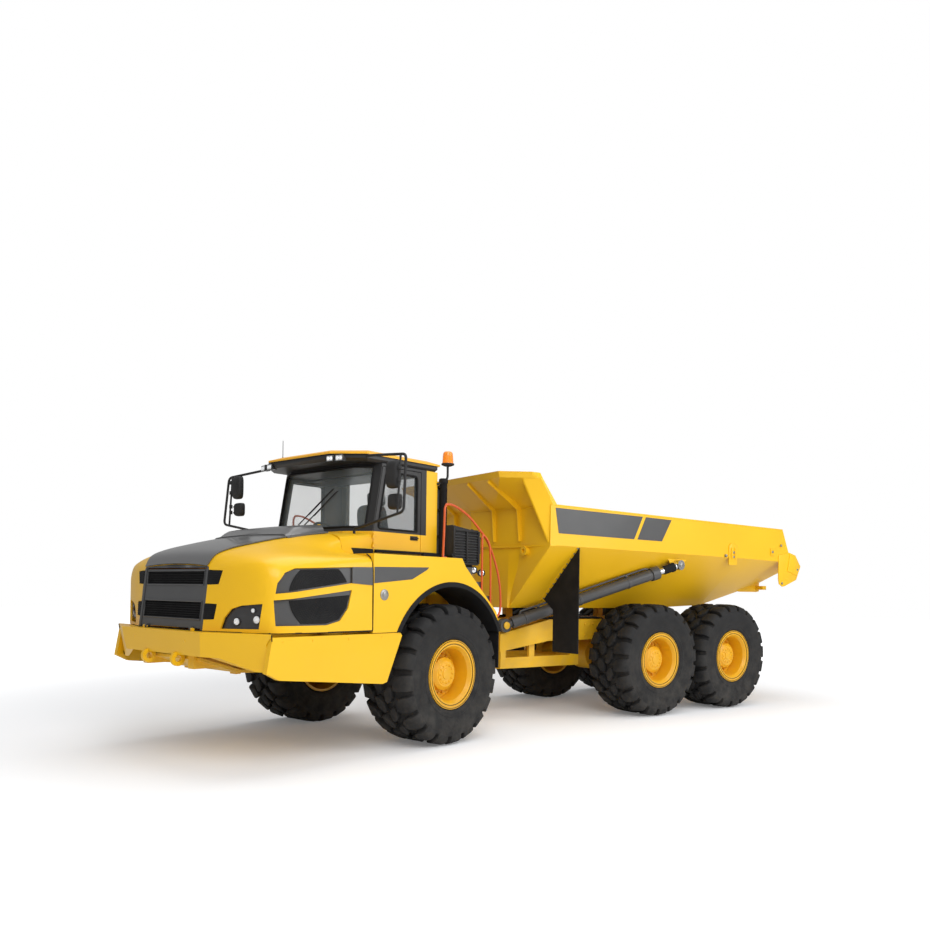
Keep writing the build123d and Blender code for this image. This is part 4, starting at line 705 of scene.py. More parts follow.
@dataclass
class Workshop:
    """Turns drawn shapes into finished pieces that ride the truck's bodies."""

    palette: Palette
    front: Unit
    rear: Unit
    repeats: Repeats = field(default_factory=Repeats)
    made: int = 0

    @staticmethod
    def piece(name: str, bm: bmesh.types.BMesh, place: Matrix) -> Piece:
        """A new object at the origin, with its place in its mesh.

        Args:
            name: Its name.
            bm: Its mesh.
            place: Its place.

        Returns:
            The piece.
        """
        data = bpy.data.meshes.new(name)
        bm.to_mesh(data)
        data.transform(place)
        piece = bpy.data.objects.new(name, data)
        bpy.context.scene.collection.objects.link(piece)
        return piece

    def mesh(self, name: str, draw: Draw, place: Matrix, bevel: float = 0.0) -> Piece:
        """Draw a mesh and put it in place.

        Args:
            name: The piece's name.
            draw: Adds the shapes to an empty mesh.
            place: The matrix from the drawing's axes to the row frame.
            bevel: Width of a bevel on sharp edges.

        Returns:
            The object, at the origin, with its place in its mesh.
        """
        pen = Pen()
        draw(pen)
        bm = pen.bm
        bmesh.ops.remove_doubles(bm, verts=bm.verts, dist=1e-6)
        bmesh.ops.recalc_face_normals(bm, faces=bm.faces)
        piece = self.piece(name, bm, Matrix.Identity(4))
        bm.free()
        if bevel:
            cut = piece.modifiers.new("Eased edges", "BEVEL")
            cut.width = bevel
            cut.segments = 2
            cut.limit_method = "ANGLE"
            cut.angle_limit = math.radians(40)
            self.bake(piece)
        piece.data.transform(place)
        return piece

    @staticmethod
    def bake(piece: Piece) -> None:
        """Replace a piece's mesh by its evaluated result and drop its modifiers.

        Args:
            piece: The piece.
        """
        graph = bpy.context.evaluated_depsgraph_get()
        result = bpy.data.meshes.new_from_object(piece.evaluated_get(graph))
        piece.modifiers.clear()
        piece.data = result

    def finish(self, piece: Piece, finish: str, slot: Slot, body: Body | str, angle: float = 32.0) -> Piece:
        """Give a piece its material and the body that it rides.

        Args:
            piece: The piece, in place.
            finish: The finish's name.
            slot: The record's material slot; not used.
            body: The body that it rides.
            angle: Edges sharper than this many degrees stay sharp.

        Returns:
            The piece.
        """
        piece.data.materials.clear()
        piece.data.materials.append(self.palette[finish])
        piece.data.shade_smooth()
        piece.data.set_sharp_from_angle(angle=math.radians(angle))
        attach(piece, body.value if isinstance(body, Body) else body)
        self.made += 1
        log.info("%s: %d faces", piece.name, len(piece.data.polygons))
        return piece

    def make(self, name: str, draw: Draw, unit: Unit, finish: str, slot: Slot, body: Body | str = Body.FRONT,
             bevel: float = 0.0, angle: float = 32.0) -> Piece:
        """Draw, place and finish a piece in one call."""
        return self.finish(self.mesh(name, draw, unit.matrix, bevel), finish, slot, body, angle)

    def repeat(self, name: str, draw: Draw, tree: bpy.types.NodeTree, place: Matrix, finish: str,
               bevel: float = 0.0, **values: object) -> Piece:
        """Run a repeat tree on a drawn shape and keep its plain mesh.

        Args:
            name: The piece's name.
            draw: Draws one copy where the repeat starts.
            tree: The repeat's tree.
            place: The matrix from the repeat's axes to the row frame.
            finish: The finish's name.
            bevel: Width of a bevel on the copy.
            values: The tree's inputs.

        Returns:
            The object with its plain mesh.
        """
        piece = self.mesh(name, draw, Matrix.Identity(4), bevel)
        repeat = piece.modifiers.new(tree.name, "NODES")
        repeat.node_group = tree
        sockets = {item.name: item.identifier for item in tree.interface.items_tree if item.in_out == "INPUT"}
        for label, value in {**values, "Material": self.palette[finish]}.items():
            repeat[sockets[label]] = value
        self.bake(piece)
        piece.data.transform(place)
        return piece


@dataclass
class CarriedNodes:
    """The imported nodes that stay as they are, each with its finish."""

    shop: Workshop
    nodes: dict[str, Piece]
    finishes: tuple[tuple[str, str], ...] = (
        # finish, then the starts of the nodes' names that have it
        ("Yellow frame paint", "rear_frame bogie hitch front_frame"),
        ("Charcoal paint", "front_axle engine steps exhaust side_screens grille hoist_barrel steering_barrel"),
        ("Yellow gloss paint", "bumper side_panels fenders cowl hood"),
        ("Black rubber", "fender_trims mud_shields"),
        ("Orange rail paint", "handrails"),
        ("Cab shell paint", "cab_shell door"),
        ("Cab window glass", "cab_glass"),
        ("Tinted window glass", "door_glass"),
        ("Roof paint", "roof"),
        ("Cushion cloth", "seat"),
        ("Black moulded plastic", "console mirrors rear_unit"),
        ("Lamp housing", "work_lights headlights"),
        ("Amber lens", "beacon"),
        ("Yellow body paint", "dump_body"),
        ("Yellow wheel paint", "rim"),
        ("Tyre rubber", "tyre"),
        ("Polished rod steel", "hoist_rod steering_rod"),
    )

    def build(self) -> None:
        """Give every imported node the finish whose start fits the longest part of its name."""
        starts = {start: finish for finish, names in self.finishes for start in names.split()}
        for name, node in self.nodes.items():
            finish = starts[max((start for start in starts if name.startswith(start)), key=len)]
            node.data.materials.clear()
            node.data.materials.append(self.shop.palette[finish])
        log.info("packed nodes: %d", len(self.nodes))


@dataclass(frozen=True)
class Wheel:
    """One wheel's place on the truck."""

    name: str
    centre: Vector
    outward: Vector

    def matrix(self) -> Matrix:
        """From the wheel's own axes, y outward, to the row frame.

        Returns:
            Its place and turn.
        """
        out = self.outward.normalized()
        turn = Matrix((out.cross(UP), out, UP)).transposed().to_4x4()
        return Matrix.Translation(self.centre) @ turn

    @property
    def body(self) -> str:
        """The body that the wheel's pieces ride."""
        return f"wheel_{self.name}"


@dataclass
class Tyres:
    """The six tyres: carcass with sidewall rings, shoulder lugs and two rows of middle blocks."""

    shop: Workshop
    radius: float = 0.8
    half_width: float = 0.366
    tread_radius: float = 0.74
    bead_radius: float = 0.397
    lugs: int = 20
    sides: int = 112

    def carcass(self, pen: Pen) -> None:
        """Draw the closed section of the tyre's wall and tread base."""
        half = (
            (0.318, self.bead_radius), (0.338, 0.412), (0.344, 0.425), (0.349, 0.434), (0.3485, 0.452),
            (0.3525, 0.456), (0.354, 0.474), (0.35, 0.48), (0.355, 0.52), (0.3655, 0.565),
            (self.half_width, 0.596), (0.368, 0.603), (0.369, 0.64), (0.3685, 0.668), (0.364, 0.688),
            (0.356, 0.696), (0.34, 0.7), (0.32, 0.708), (0.3, 0.722), (0.27, 0.732), (0.15, self.tread_radius),
        )
        inner = ((0.28, 0.395), (0.3, 0.45), (0.31, 0.6), (0.26, 0.7), (0.1, 0.715))
        outer = [*half, *((-y, r) for y, r in reversed(half))]
        inside = [*((-y, r) for y, r in inner), *((y, r) for y, r in reversed(inner))]
        pen.lathe([*outer, *inside], (0, 0, 0), LEFT, self.sides)

    def lug(self, side: int, middle: bool) -> Draw:
        """One lug: a block of the middle row, or a wide one out over the shoulder.

        Args:
            side: 1 for the outer row, -1 for the inner row.
            middle: Whether it is one of the middle blocks.

        Returns:
            A function that draws it at the top of the tyre.
        """
        # sections from the middle out: y, sideways place, half width, bottom radius, top radius
        sections = (
            (0.012, 0.04, 0.048, 0.725, 0.796), (0.045, 0.03, 0.08, 0.725, 0.799),
            (0.092, -0.004, 0.084, 0.725, 0.8), (0.132, -0.03, 0.054, 0.725, 0.799),
        ) if middle else (
            (0.158, 0.03, 0.04, 0.725, 0.799), (0.196, 0.008, 0.072, 0.72, 0.799),
            (0.262, -0.01, 0.084, 0.705, 0.796), (0.322, -0.014, 0.088, 0.69, 0.781),
            (0.352, -0.014, 0.09, 0.68, 0.754), (0.367, -0.014, 0.088, 0.672, 0.718),
        )

        def corner(y: float, along_tread: float, radius: float) -> Point:
            """A lug's corner, bent round the tyre."""
            angle = along_tread / self.radius
            return radius * math.sin(angle), side * y, radius * math.cos(angle)

        return lambda pen: pen.solid(
            [corner(y, shift + offset, radius) for offset, radius in (
                (-half * 1.12, low), (-half, high), (half, high), (half * 1.12, low))]
            for y, shift, half, low, high in sections)

    def build(self, wheels: Sequence[Wheel]) -> None:
        """Make one tyre's mesh and give each wheel a copy.

        Args:
            wheels: The wheels.
        """
        shop, still = self.shop, Matrix.Identity(4)
        parts = [shop.mesh("tyre_carcass", self.carcass, still)]
        for side in SIDES:
            for middle in (False, True):
                phase = side * math.pi / self.lugs / 2 + (math.pi / self.lugs if middle else 0.0)
                parts.append(shop.repeat("tyre_lugs", self.lug(side, middle), shop.repeats.ring, still, "Tyre rubber",
                                         0.007, Count=self.lugs, Phase=phase))
        bm = bmesh.new()
        for part in parts:
            bm.from_mesh(part.data)
            bpy.data.objects.remove(part)
        for wheel in wheels:
            piece = shop.piece(f"tyre_cover_{wheel.name}", bm, wheel.matrix())
            shop.finish(piece, "Tyre rubber", Slot.TYRE, wheel.body)
            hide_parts(f"tyre_{wheel.name}")
        bm.free()


@dataclass
class WheelFittings:
    """Bolts, hub cover and lock ring on each rim."""

    shop: Workshop
    rim_face: float = 0.334
    disc_face: float = 0.1
    hub_face: float = 0.226
    nut_circle: float = 0.235
    nuts: int = 20

    @staticmethod
    def nut(radius: float, base: float, size: float, depth: float) -> Draw:
        """A hexagon nut with its stud, standing out along y.

        Args:
            radius: Radius of the circle it stands on.
            base: Where its seat is along y.
            size: Half its width.
            depth: Its height.

        Returns:
            A function that draws it.
        """
        def draw(pen: Pen) -> None:
            """Add the nut and its stud."""
            pen.disc((0, base, radius), LEFT, size, depth, size * 0.15, 6)
            pen.disc((0, base, radius), LEFT, size * 0.5, depth * 1.5, size * 0.1, 10)

        return draw

    def cover(self, pen: Pen) -> None:
        """Draw the hub's cover plate and its raised middle."""
        pen.disc((0, self.hub_face, 0), LEFT, 0.128, 0.006, 0.004, 48)
        pen.disc((0, self.hub_face, 0), LEFT, 0.062, 0.016, 0.006, 36)

    def lock_ring(self, pen: Pen) -> None:
        """Draw the flange's lock ring."""
        face = self.rim_face
        profile = ((face - 0.012, 0.352), (face + 0.003, 0.356), (face + 0.003, 0.372), (face - 0.012, 0.376))
        pen.lathe(profile, (0, 0, 0), LEFT, 72)

    def gaps(self, pen: Pen) -> None:
        """Draw black rings of painted shade in the gaps on both sides of the lock ring."""
        low, high = self.rim_face - 0.01, self.rim_face + 0.0012
        for inner, outer in ((0.3435, 0.3495), (0.3785, 0.3845)):
            pen.lathe(((low, inner), (high, inner), (high, outer), (low, outer)), (0, 0, 0), LEFT, 72)

    def build(self, wheels: Sequence[Wheel]) -> None:
        """Give each wheel its nuts, cover, bolts, ring and the painted shade in its gaps.

        Args:
            wheels: The wheels.
        """
        shop = self.shop
        for wheel in wheels:
            unit = Unit(wheel.matrix())
            for name, nut, count in (
                    ("wheel_nuts", self.nut(self.nut_circle, self.disc_face, 0.019, 0.022), self.nuts),
                    ("hub_bolts", self.nut(0.103, self.hub_face + 0.005, 0.012, 0.01), 12)):
                ring = shop.repeat(f"{name}_{wheel.name}", nut, shop.repeats.ring, unit.matrix, "Yellow wheel paint",
                                   Count=count, Phase=0.0)
                shop.finish(ring, "Yellow wheel paint", Slot.YELLOW, wheel.body)
            for name, draw, finish, slot in (("hub_cover", self.cover, "Yellow wheel paint", Slot.YELLOW),
                                             # rim gap rings: black fill that paints the shade in the lock ring's gaps
                                             ("rim_gaps", self.gaps, "Black rubber", Slot.RUBBER),
                                             ("lock_ring", self.lock_ring, "Yellow wheel paint", Slot.YELLOW)):
                shop.make(f"{name}_{wheel.name}", draw, unit, finish, slot, wheel.body)


def along(table: Sequence[tuple[float, ...]], x: float) -> tuple[float, ...]:
    """Values between the rows of a table whose first column falls.

    Args:
        table: Rows of a place and its values, from the highest place to the lowest.
        x: The place.

    Returns:
        The values at that place.
    """
    for (x0, *a), (x1, *b) in zip(table, table[1:]):
        if x >= x1:
            share = min(max((x0 - x) / (x0 - x1), 0.0), 1.0)
            return tuple(u + (v - u) * share for u, v in zip(a, b))
    return tuple(table[-1][1:])


@dataclass
class HoodTop:
    """The raised air scoop before the cab."""

    shop: Workshop
    # x, height of the hood's panel at its edge
    stations: tuple[Flat, ...] = ((3.35, 2.197), (2.9, 2.292), (2.447, 2.356))
    scoop_half: float = 0.64

    def scoop(self, pen: Pen) -> None:
        """Draw the scoop as a shell that rises from the panel towards the cab."""
        grid, half = [], self.scoop_half
        tops = ((2.95, 2.318), (2.9, 2.332), (2.845, 2.372), (2.79, 2.402), (2.62, 2.428), (2.447, 2.449))
        for x, top in tops:
            low = min(along(self.stations, x)[0] + 0.012, top)
            side = ((half + 0.062, low - 0.014), (half + 0.03, low - 0.004), (half + 0.006, low + (top - low) * 0.55),
                    (half - 0.022, top - 0.004), (half * 0.72, top + 0.006), (half * 0.36, top + 0.01),
                    (0.0, top + 0.012))
            grid.append([(x, y, z) for y, z in side] + [(x, -y, z) for y, z in side[-2::-1]])
        pen.skin(grid, 0.01)

    def build(self) -> None:
        """Make the scoop, riding the hood."""
        shop = self.shop
        shop.make("hood_scoop", self.scoop, shop.front, "Hood top paint", Slot.PANEL, Body.HOOD, angle=50)


@dataclass
class Grille:
    """Mesh behind the grille's two windows, and their frames."""

    shop: Workshop
    face_x: float = 3.872
    face_z: float = 1.334
    lean: float = math.radians(6.2)
    half: float = 0.538
    windows: tuple[Flat, ...] = ((1.44, 1.615), (1.775, 1.915))
    pitch: float = 0.019
    slat_pitch: float = 0.0225
    bar: float = 0.0045
    bar_depth: float = 0.012

    def place(self, y: float, z: float, depth: float) -> Point:
        """A point of the leaning face, set back by a depth.

        Args:
            y: Place across.
            z: Height.
            depth: How far behind the face.

        Returns:
            The point.
        """
        rise = (z - self.face_z) / math.cos(self.lean)
        x = self.face_x - rise * math.sin(self.lean) - depth * math.cos(self.lean)
        return x, y, z - depth * math.sin(self.lean)

    def bar_between(self, pen: Pen, start: Point, end: Point) -> None:
        """A flat bar between two points of the face.

        Args:
            start: One end.
            end: The other end.
        """
        run = (Vector(end) - Vector(start)).normalized()
        out = Vector((math.cos(self.lean), 0, math.sin(self.lean)))
        side = run.cross(out).normalized() * self.bar / 2
        pen.solid([Vector(point) + side * a + out * b for a, b in (
            (-1, 0), (1, 0), (1, self.bar_depth), (-1, self.bar_depth))] for point in (start, end))

    def corners(self, low: float, high: float, depth: float) -> list[Point]:
        """A window's corners, set back by a depth."""
        half = self.half
        return [self.place(y, z, depth) for y, z in ((-half, low), (half, low), (half, high), (-half, high))]

    def backs(self, pen: Pen) -> None:
        """Draw black plates behind the bars, as painted shade in the grille's depth."""
        for low, high in self.windows:
            pen.bm.faces.new(pen.rows([self.corners(low, high, 0.0315)])[0])
        bmesh.ops.solidify(pen.bm, geom=list(pen.bm.faces), thickness=0.001)

    def frames(self, pen: Pen) -> None:
        """Draw the raised rims round both windows."""
        for low, high in self.windows:
            corners = self.corners(low, high, 0.004)
            pen.pipe([*corners, corners[0]], 0.008, 8)

    def build(self) -> None:
        """Make each window's bars and its rounded frame."""
        shop, half = self.shop, self.half
        for name, (low, high) in zip(("lower", "upper"), self.windows):
            rise = Vector(self.place(0, low + self.slat_pitch, 0.0)) - Vector(self.place(0, low, 0.0))
            foot = low + 0.01
            for kind, start, end, count, step in (
                    ("bars", self.place(-half, low, 0.026), self.place(-half, high, 0.026),
                     int(2 * half / self.pitch) + 1, (0.0, self.pitch, 0.0)),
                    ("slats", self.place(-half, foot, 0.022), self.place(half, foot, 0.022),
                     int((high - low) / self.slat_pitch), tuple(rise))):
                piece = shop.repeat(f"grille_{kind}_{name}", lambda pen, a=start, b=end: self.bar_between(pen, a, b),
                                    shop.repeats.row, shop.front.matrix, "Black rubber", Count=count, Step=step)
                shop.finish(piece, "Black rubber", Slot.PLASTIC, Body.GRILLE)
        # The grille backs are black plates that paint the shade behind the bars.
        shop.make("grille_backs", self.backs, shop.front, "Black rubber", Slot.PLASTIC, Body.GRILLE)
        shop.make("grille_frames", self.frames, shop.front, "Charcoal paint", Slot.GREY, Body.GRILLE)


@dataclass
class Headlights:
    """Round lamps in the dark housings, with a bright cup, a ring and a domed lens each."""

    shop: Workshop
    lamps: tuple[tuple[float, float, float, float], ...] = (
        # x, y, z, radius
        (3.736, 0.957, 1.434, 0.033), (3.65, 1.15, 1.455, 0.036), (3.668, 1.118, 1.54, 0.022),
    )
    facing: Flat = (0.93, 0.36)
    depth: float = 0.016

    def each(self, *parts: tuple[tuple[Flat, ...], int, bool]) -> Draw:
        """Draw turned parts at every lamp of both sides.

        Args:
            parts: A profile with its radii as shares of the lamp's, how many sides it has, and whether it is closed.

        Returns:
            A function that draws them.
        """
        def run(pen: Pen) -> None:
            """Draw every part at each lamp."""
            for side in SIDES:
                out = Vector((self.facing[0], side * self.facing[1], 0)).normalized()
                for x, y, z, radius in self.lamps:
                    seat = Vector((x, side * y, z)) - out * self.depth
                    for profile, sides, closed in parts:
                        pen.lathe([(a, r * radius if r else TIP) for a, r in profile], seat, out, sides, closed)

        return run

    def build(self) -> None:
        """Make the dark rings, the bright cups with their bulbs and the domed lenses."""
        shop = self.shop
        ring = ((-0.02, 1), (0.01, 1), (0.012, 1.05), (0.01, 1.16), (-0.02, 1.18))
        cup = ((-0.02, 0.35), (-0.012, 0.7), (0.002, 0.97), (0.0, 0.99), (-0.03, 0.95), (-0.034, 0.3))
        bulb = ((-0.03, 0), (-0.03, 0.3), (-0.006, 0.3), (0.0, 0.2), (0.002, 0))
        lens = ((0.003, 0.98), (0.006, 0.9), (0.01, 0.6), (0.012, 0.25), (0.0125, 0))
        for name, parts, finish, slot in (
                ("rings", [(ring, 40, True)], "Lamp housing", Slot.PLASTIC),
                ("cups", [(cup, 40, True), (bulb, 24, False)], "Lamp reflector", Slot.LAMP),
                ("lenses", [(lens, 40, False)], "Headlight lens", Slot.LAMP)):
            shop.make(f"headlight_{name}", self.each(*parts), shop.front, finish, slot, Body.HOOD)


@dataclass
class SideScreens:
    """The hood's side windows: round fan screens crossed by the yellow bar, and their bare rear panel."""

    shop: Workshop
    centre: Flat = (3.078, 1.675)
    radius: float = 0.345
    upper: tuple[Flat, ...] = (
        (3.56, 1.7), (3.545, 1.8), (3.47, 1.9), (3.36, 1.945), (2.7, 1.975), (2.7, 1.815), (3.4, 1.715))
    lower: tuple[Flat, ...] = (
        (3.575, 1.64), (3.56, 1.4), (3.02, 1.4), (2.86, 1.44), (2.76, 1.56), (2.71, 1.745), (3.4, 1.655))
    # x, y of the hood's side at its foot and at its shoulder, height of the shoulder
    surface: tuple[tuple[float, float, float, float], ...] = (
        (3.6, 1.3, 1.285, 1.905), (3.35, 1.385, 1.37, 1.94), (2.9, 1.425, 1.415, 1.97),
        (2.44, 1.438, 1.43, 1.99))
    rings: int = 16
    sides: int = 72

    def side_y(self, x: float, z: float) -> float:
        """How far out the hood's side stands."""
        foot, shoulder, height = along(self.surface, x)
        return foot + (shoulder - foot) * (z - 1.334) / (height - 1.334)

    @staticmethod
    def clip(bm: bmesh.types.BMesh, outline: Outline, inset: float) -> None:
        """Cut away what lies outside a convex outline in x and z, drawn in by an inset.

        Args:
            bm: The sheet.
            outline: What it is cut to.
            inset: How far inside.
        """
        middle = Vector((sum(x for x, _ in outline) / len(outline), sum(z for _, z in outline) / len(outline)))
        for (x0, z0), (x1, z1) in zip(outline, (*outline[1:], outline[0])):
            normal = Vector((z1 - z0, x0 - x1)).normalized()
            if normal.dot(middle - Vector((x0, z0))) > 0:
                normal = -normal
            point = Vector((x0, 0, z0)) - Vector((normal.x, 0, normal.y)) * inset
            bmesh.ops.bisect_plane(bm, geom=[*bm.verts, *bm.edges, *bm.faces], dist=1e-6, plane_co=point,
                                   plane_no=(normal.x, 0, normal.y), clear_outer=True)

    def disc(self, outline: Outline) -> Draw:
        """The part of the round screen that one window shows: concentric ribs and spokes on a dish.

        Args:
            outline: The window's corners.

        Returns:
            A function that draws it on both sides.
        """
        def draw(pen: Pen) -> None:
            """Add a ribbed disc a side, cut to the window."""
            bm = pen.bm
            for side in SIDES:
                part = Pen()
                rows = part.rows([
                    (self.centre[0] + radius * math.cos(angle), (0.004 if i % 2 else 0.0) + (0.0 if k % 6 else 0.003),
                     self.centre[1] + radius * math.sin(angle))
                    for k, angle in enumerate(2 * math.pi * k / self.sides for k in range(self.sides))]
                    for i, radius in enumerate(max(i / (self.rings * 2), 0.02) * self.radius
                                               for i in range(self.rings * 2 + 1)))
                part.join(rows)
                part.bm.faces.new(rows[0])
                self.clip(part.bm, outline, 0.016)
                verts = {}
                for vert in part.bm.verts:
                    x, lift, z = vert.co
                    verts[vert] = bm.verts.new((x, side * (self.side_y(x, z) - 0.011 + lift), z))
                for face in part.bm.faces:
                    bm.faces.new([verts[v] for v in face.verts])
                part.bm.free()
            bmesh.ops.solidify(bm, geom=list(bm.faces), thickness=0.002)

        return draw

    def rear_panel(self, pen: Pen) -> None:
        """Draw the flat dark panel behind the upper window."""
        for side in SIDES:
            rows = []
            for x in (2.445, 2.53, 2.62, 2.712):
                top, low = 1.9805 - (x - 2.445) * 0.02, 1.797 + (x - 2.445) * 0.06
                row = [(x, side * (self.side_y(x, z) + 0.008), z) for z in (low, (low + top) / 2, top)]
                rows.append(row if side < 0 else row[::-1])
            pen.skin(rows, 0.006)

    def build(self) -> None:
        """Make the discs and the panels."""
        shop = self.shop
        for name, outline in (("upper", self.upper), ("lower", self.lower)):
            shop.make(f"fan_screen_{name}", self.disc(outline), shop.front, "Black rubber", Slot.PLASTIC, Body.HOOD,
                      angle=20)
        shop.make("hood_rear_panels", self.rear_panel, shop.front, "Charcoal paint", Slot.PANEL, Body.HOOD)


@dataclass
class FrontTrim:
    """Seals, bare dark panels, painted shade in the seams and the hood's groove, the filler cap and the bolts of the
    nose and fenders.
    """

    shop: Workshop
    seam: tuple[Flat, ...] = (
        (3.874, 0.0), (3.874, 0.6), (3.737, 0.987), (3.602, 1.302), (3.352, 1.388), (2.9, 1.428), (2.44, 1.441))
    seam_z: Flat = (1.3255, 1.3375)

    def seal(self, pen: Pen) -> None:
        """Draw the dark seal between the bumper and the hood."""
        low, high = self.seam_z
        sections = []
        for x, y in [(x, -y) for x, y in self.seam[:0:-1]] + list(self.seam):
            inward = Vector((-0.5, -0.9 if y > 0.7 else 0.9 if y < -0.7 else 0)).normalized() * 0.02
            u, v = x + inward.x, y + inward.y
            sections.append([(x, y, low), (x, y, high), (u, v, high), (u, v, low)])
        pen.solid(sections)

    @staticmethod
    def belt(pen: Pen) -> None:
        """Draw the dark strip where the cab stands in the fenders' deck."""
        pen.plates(((0.86, 2.1265), (2.43, 2.1265), (2.43, 2.202), (1.95, 2.202), (1.95, 2.163), (1.14, 2.163),
                    (1.14, 2.202), (0.86, 2.202)), 0.8715, 0.912)

    @staticmethod
    def door_strip(pen: Pen) -> None:
        """Draw the length of that strip that the door carries."""
        pen.box((1.152, 0.8745, 2.173), (1.9, 0.908, 2.202))

    @staticmethod
    def seams(pen: Pen) -> None:
        """Draw black strips of painted shade in the gaps at the bumper's swept ends and behind the hood."""
        for side in SIDES:
            for route in (
                    ((3.675, 1.43, 1.325), (3.654, 1.419, 1.19), (3.638, 1.409, 1.085), (3.64, 1.375, 1.02),
                     (3.66, 1.32, 0.985)),
                    ((2.434, 1.4385, 1.336), (2.434, 1.4375, 1.7), (2.434, 1.435, 1.94), (2.434, 1.418, 2.03),
                     (2.434, 1.385, 2.088), (2.434, 1.33, 2.119))):
                pen.pipe([(x, side * y, z) for x, y, z in route], 0.0055, 8)

    @staticmethod
    def shields(pen: Pen) -> None:
        """Draw the pressed panels between the frame rails and the cab's floor, and the wall behind the wheels."""
        pen.boxes((0.64, 0.484, 1.262), (3.3, 0.489, 1.698))
        pen.boxes((0.6, 0.0, 1.29), (0.612, 0.84, 2.1))
        for k in range(5):
            x = 0.76 + k * 0.5
            pen.boxes((x, 0.489, 1.32), (x + 0.36, 0.497, 1.65))

    @staticmethod
    def hood_groove(pen: Pen) -> None:
        """Draw a black strip of painted shade in the groove along the foot of the hood's raised middle."""
        for side in SIDES:
            pen.pipe([(2.96, side * 1.018, 2.1505), (2.7, side * 0.989, 2.152),
                      (2.448, side * 0.961, 2.1535)], 0.0085, 8)

    @staticmethod
    def fender_panel(pen: Pen) -> None:
        """Draw the bare dark panel on each fender's side."""
        pen.plates(((2.424, 1.986), (1.607, 2.004), (1.64, 1.975), (1.871, 1.868), (2.424, 1.818)), 1.4395, 1.4425)

    @staticmethod
    def filler_cap(pen: Pen) -> None:
        """Draw the round filler cap on each fender's side."""
        for side in SIDES:
            for radius, depth, sides in ((0.058, 0.008, 40), (0.034, 0.016, 32)):
                pen.disc((2.279, side * 1.4395, 1.7), LEFT * side, radius, depth, 0.005, sides)
        pen.boxes((2.252, 1.455, 1.694), (2.306, 1.461, 1.706))

    @staticmethod
    def bolts(pen: Pen) -> None:
        """Draw the bolt heads in the bumper's face and along the side panels."""
        for y in (-0.506, 0.46):
            pen.disc((3.9655, y, 1.235), Vector((1, 0, -0.24)), 0.017, 0.009, 0.003, 6)
        for side in SIDES:
            for x in (2.3, 2.75, 3.2, 3.55):
                pen.disc((x, side * 1.4295, 1.262), LEFT * side, 0.011, 0.006, 0.002, 6)

    def build(self) -> None:
        """Make all the trim."""
        shop = self.shop
        for name, draw, finish, slot, body, bevel in (
                ("bumper_seal", self.seal, "Black rubber", Slot.RUBBER, Body.FRONT, 0.0),
                ("door_foot_strip", self.door_strip, "Black rubber", Slot.RUBBER, Body.DOOR, 0.004),
                # bumper seams: black fill that paints the shade in the panel gaps
                ("bumper_seams", self.seams, "Black rubber", Slot.RUBBER, Body.FRONT, 0.0),
                ("inner_shields", self.shields, "Yellow frame paint", Slot.YELLOW, Body.FRONT, 0.004),
                ("cab_base_strip", self.belt, "Black rubber", Slot.RUBBER, Body.FRONT, 0.004),
                # hood groove strip: black fill that paints the shade in the groove
                ("hood_groove_strip", self.hood_groove, "Black rubber", Slot.RUBBER, Body.HOOD, 0.0),
                ("fender_dark_panels", self.fender_panel, "Charcoal paint", Slot.PANEL, Body.FRONT, 0.0),
                ("filler_caps", self.filler_cap, "Bolt steel", Slot.STEEL, Body.FRONT, 0.0),
                ("nose_bolts", self.bolts, "Yellow gloss paint", Slot.YELLOW, Body.FRONT, 0.0)):
            shop.make(name, draw, shop.front, finish, slot, body, bevel)


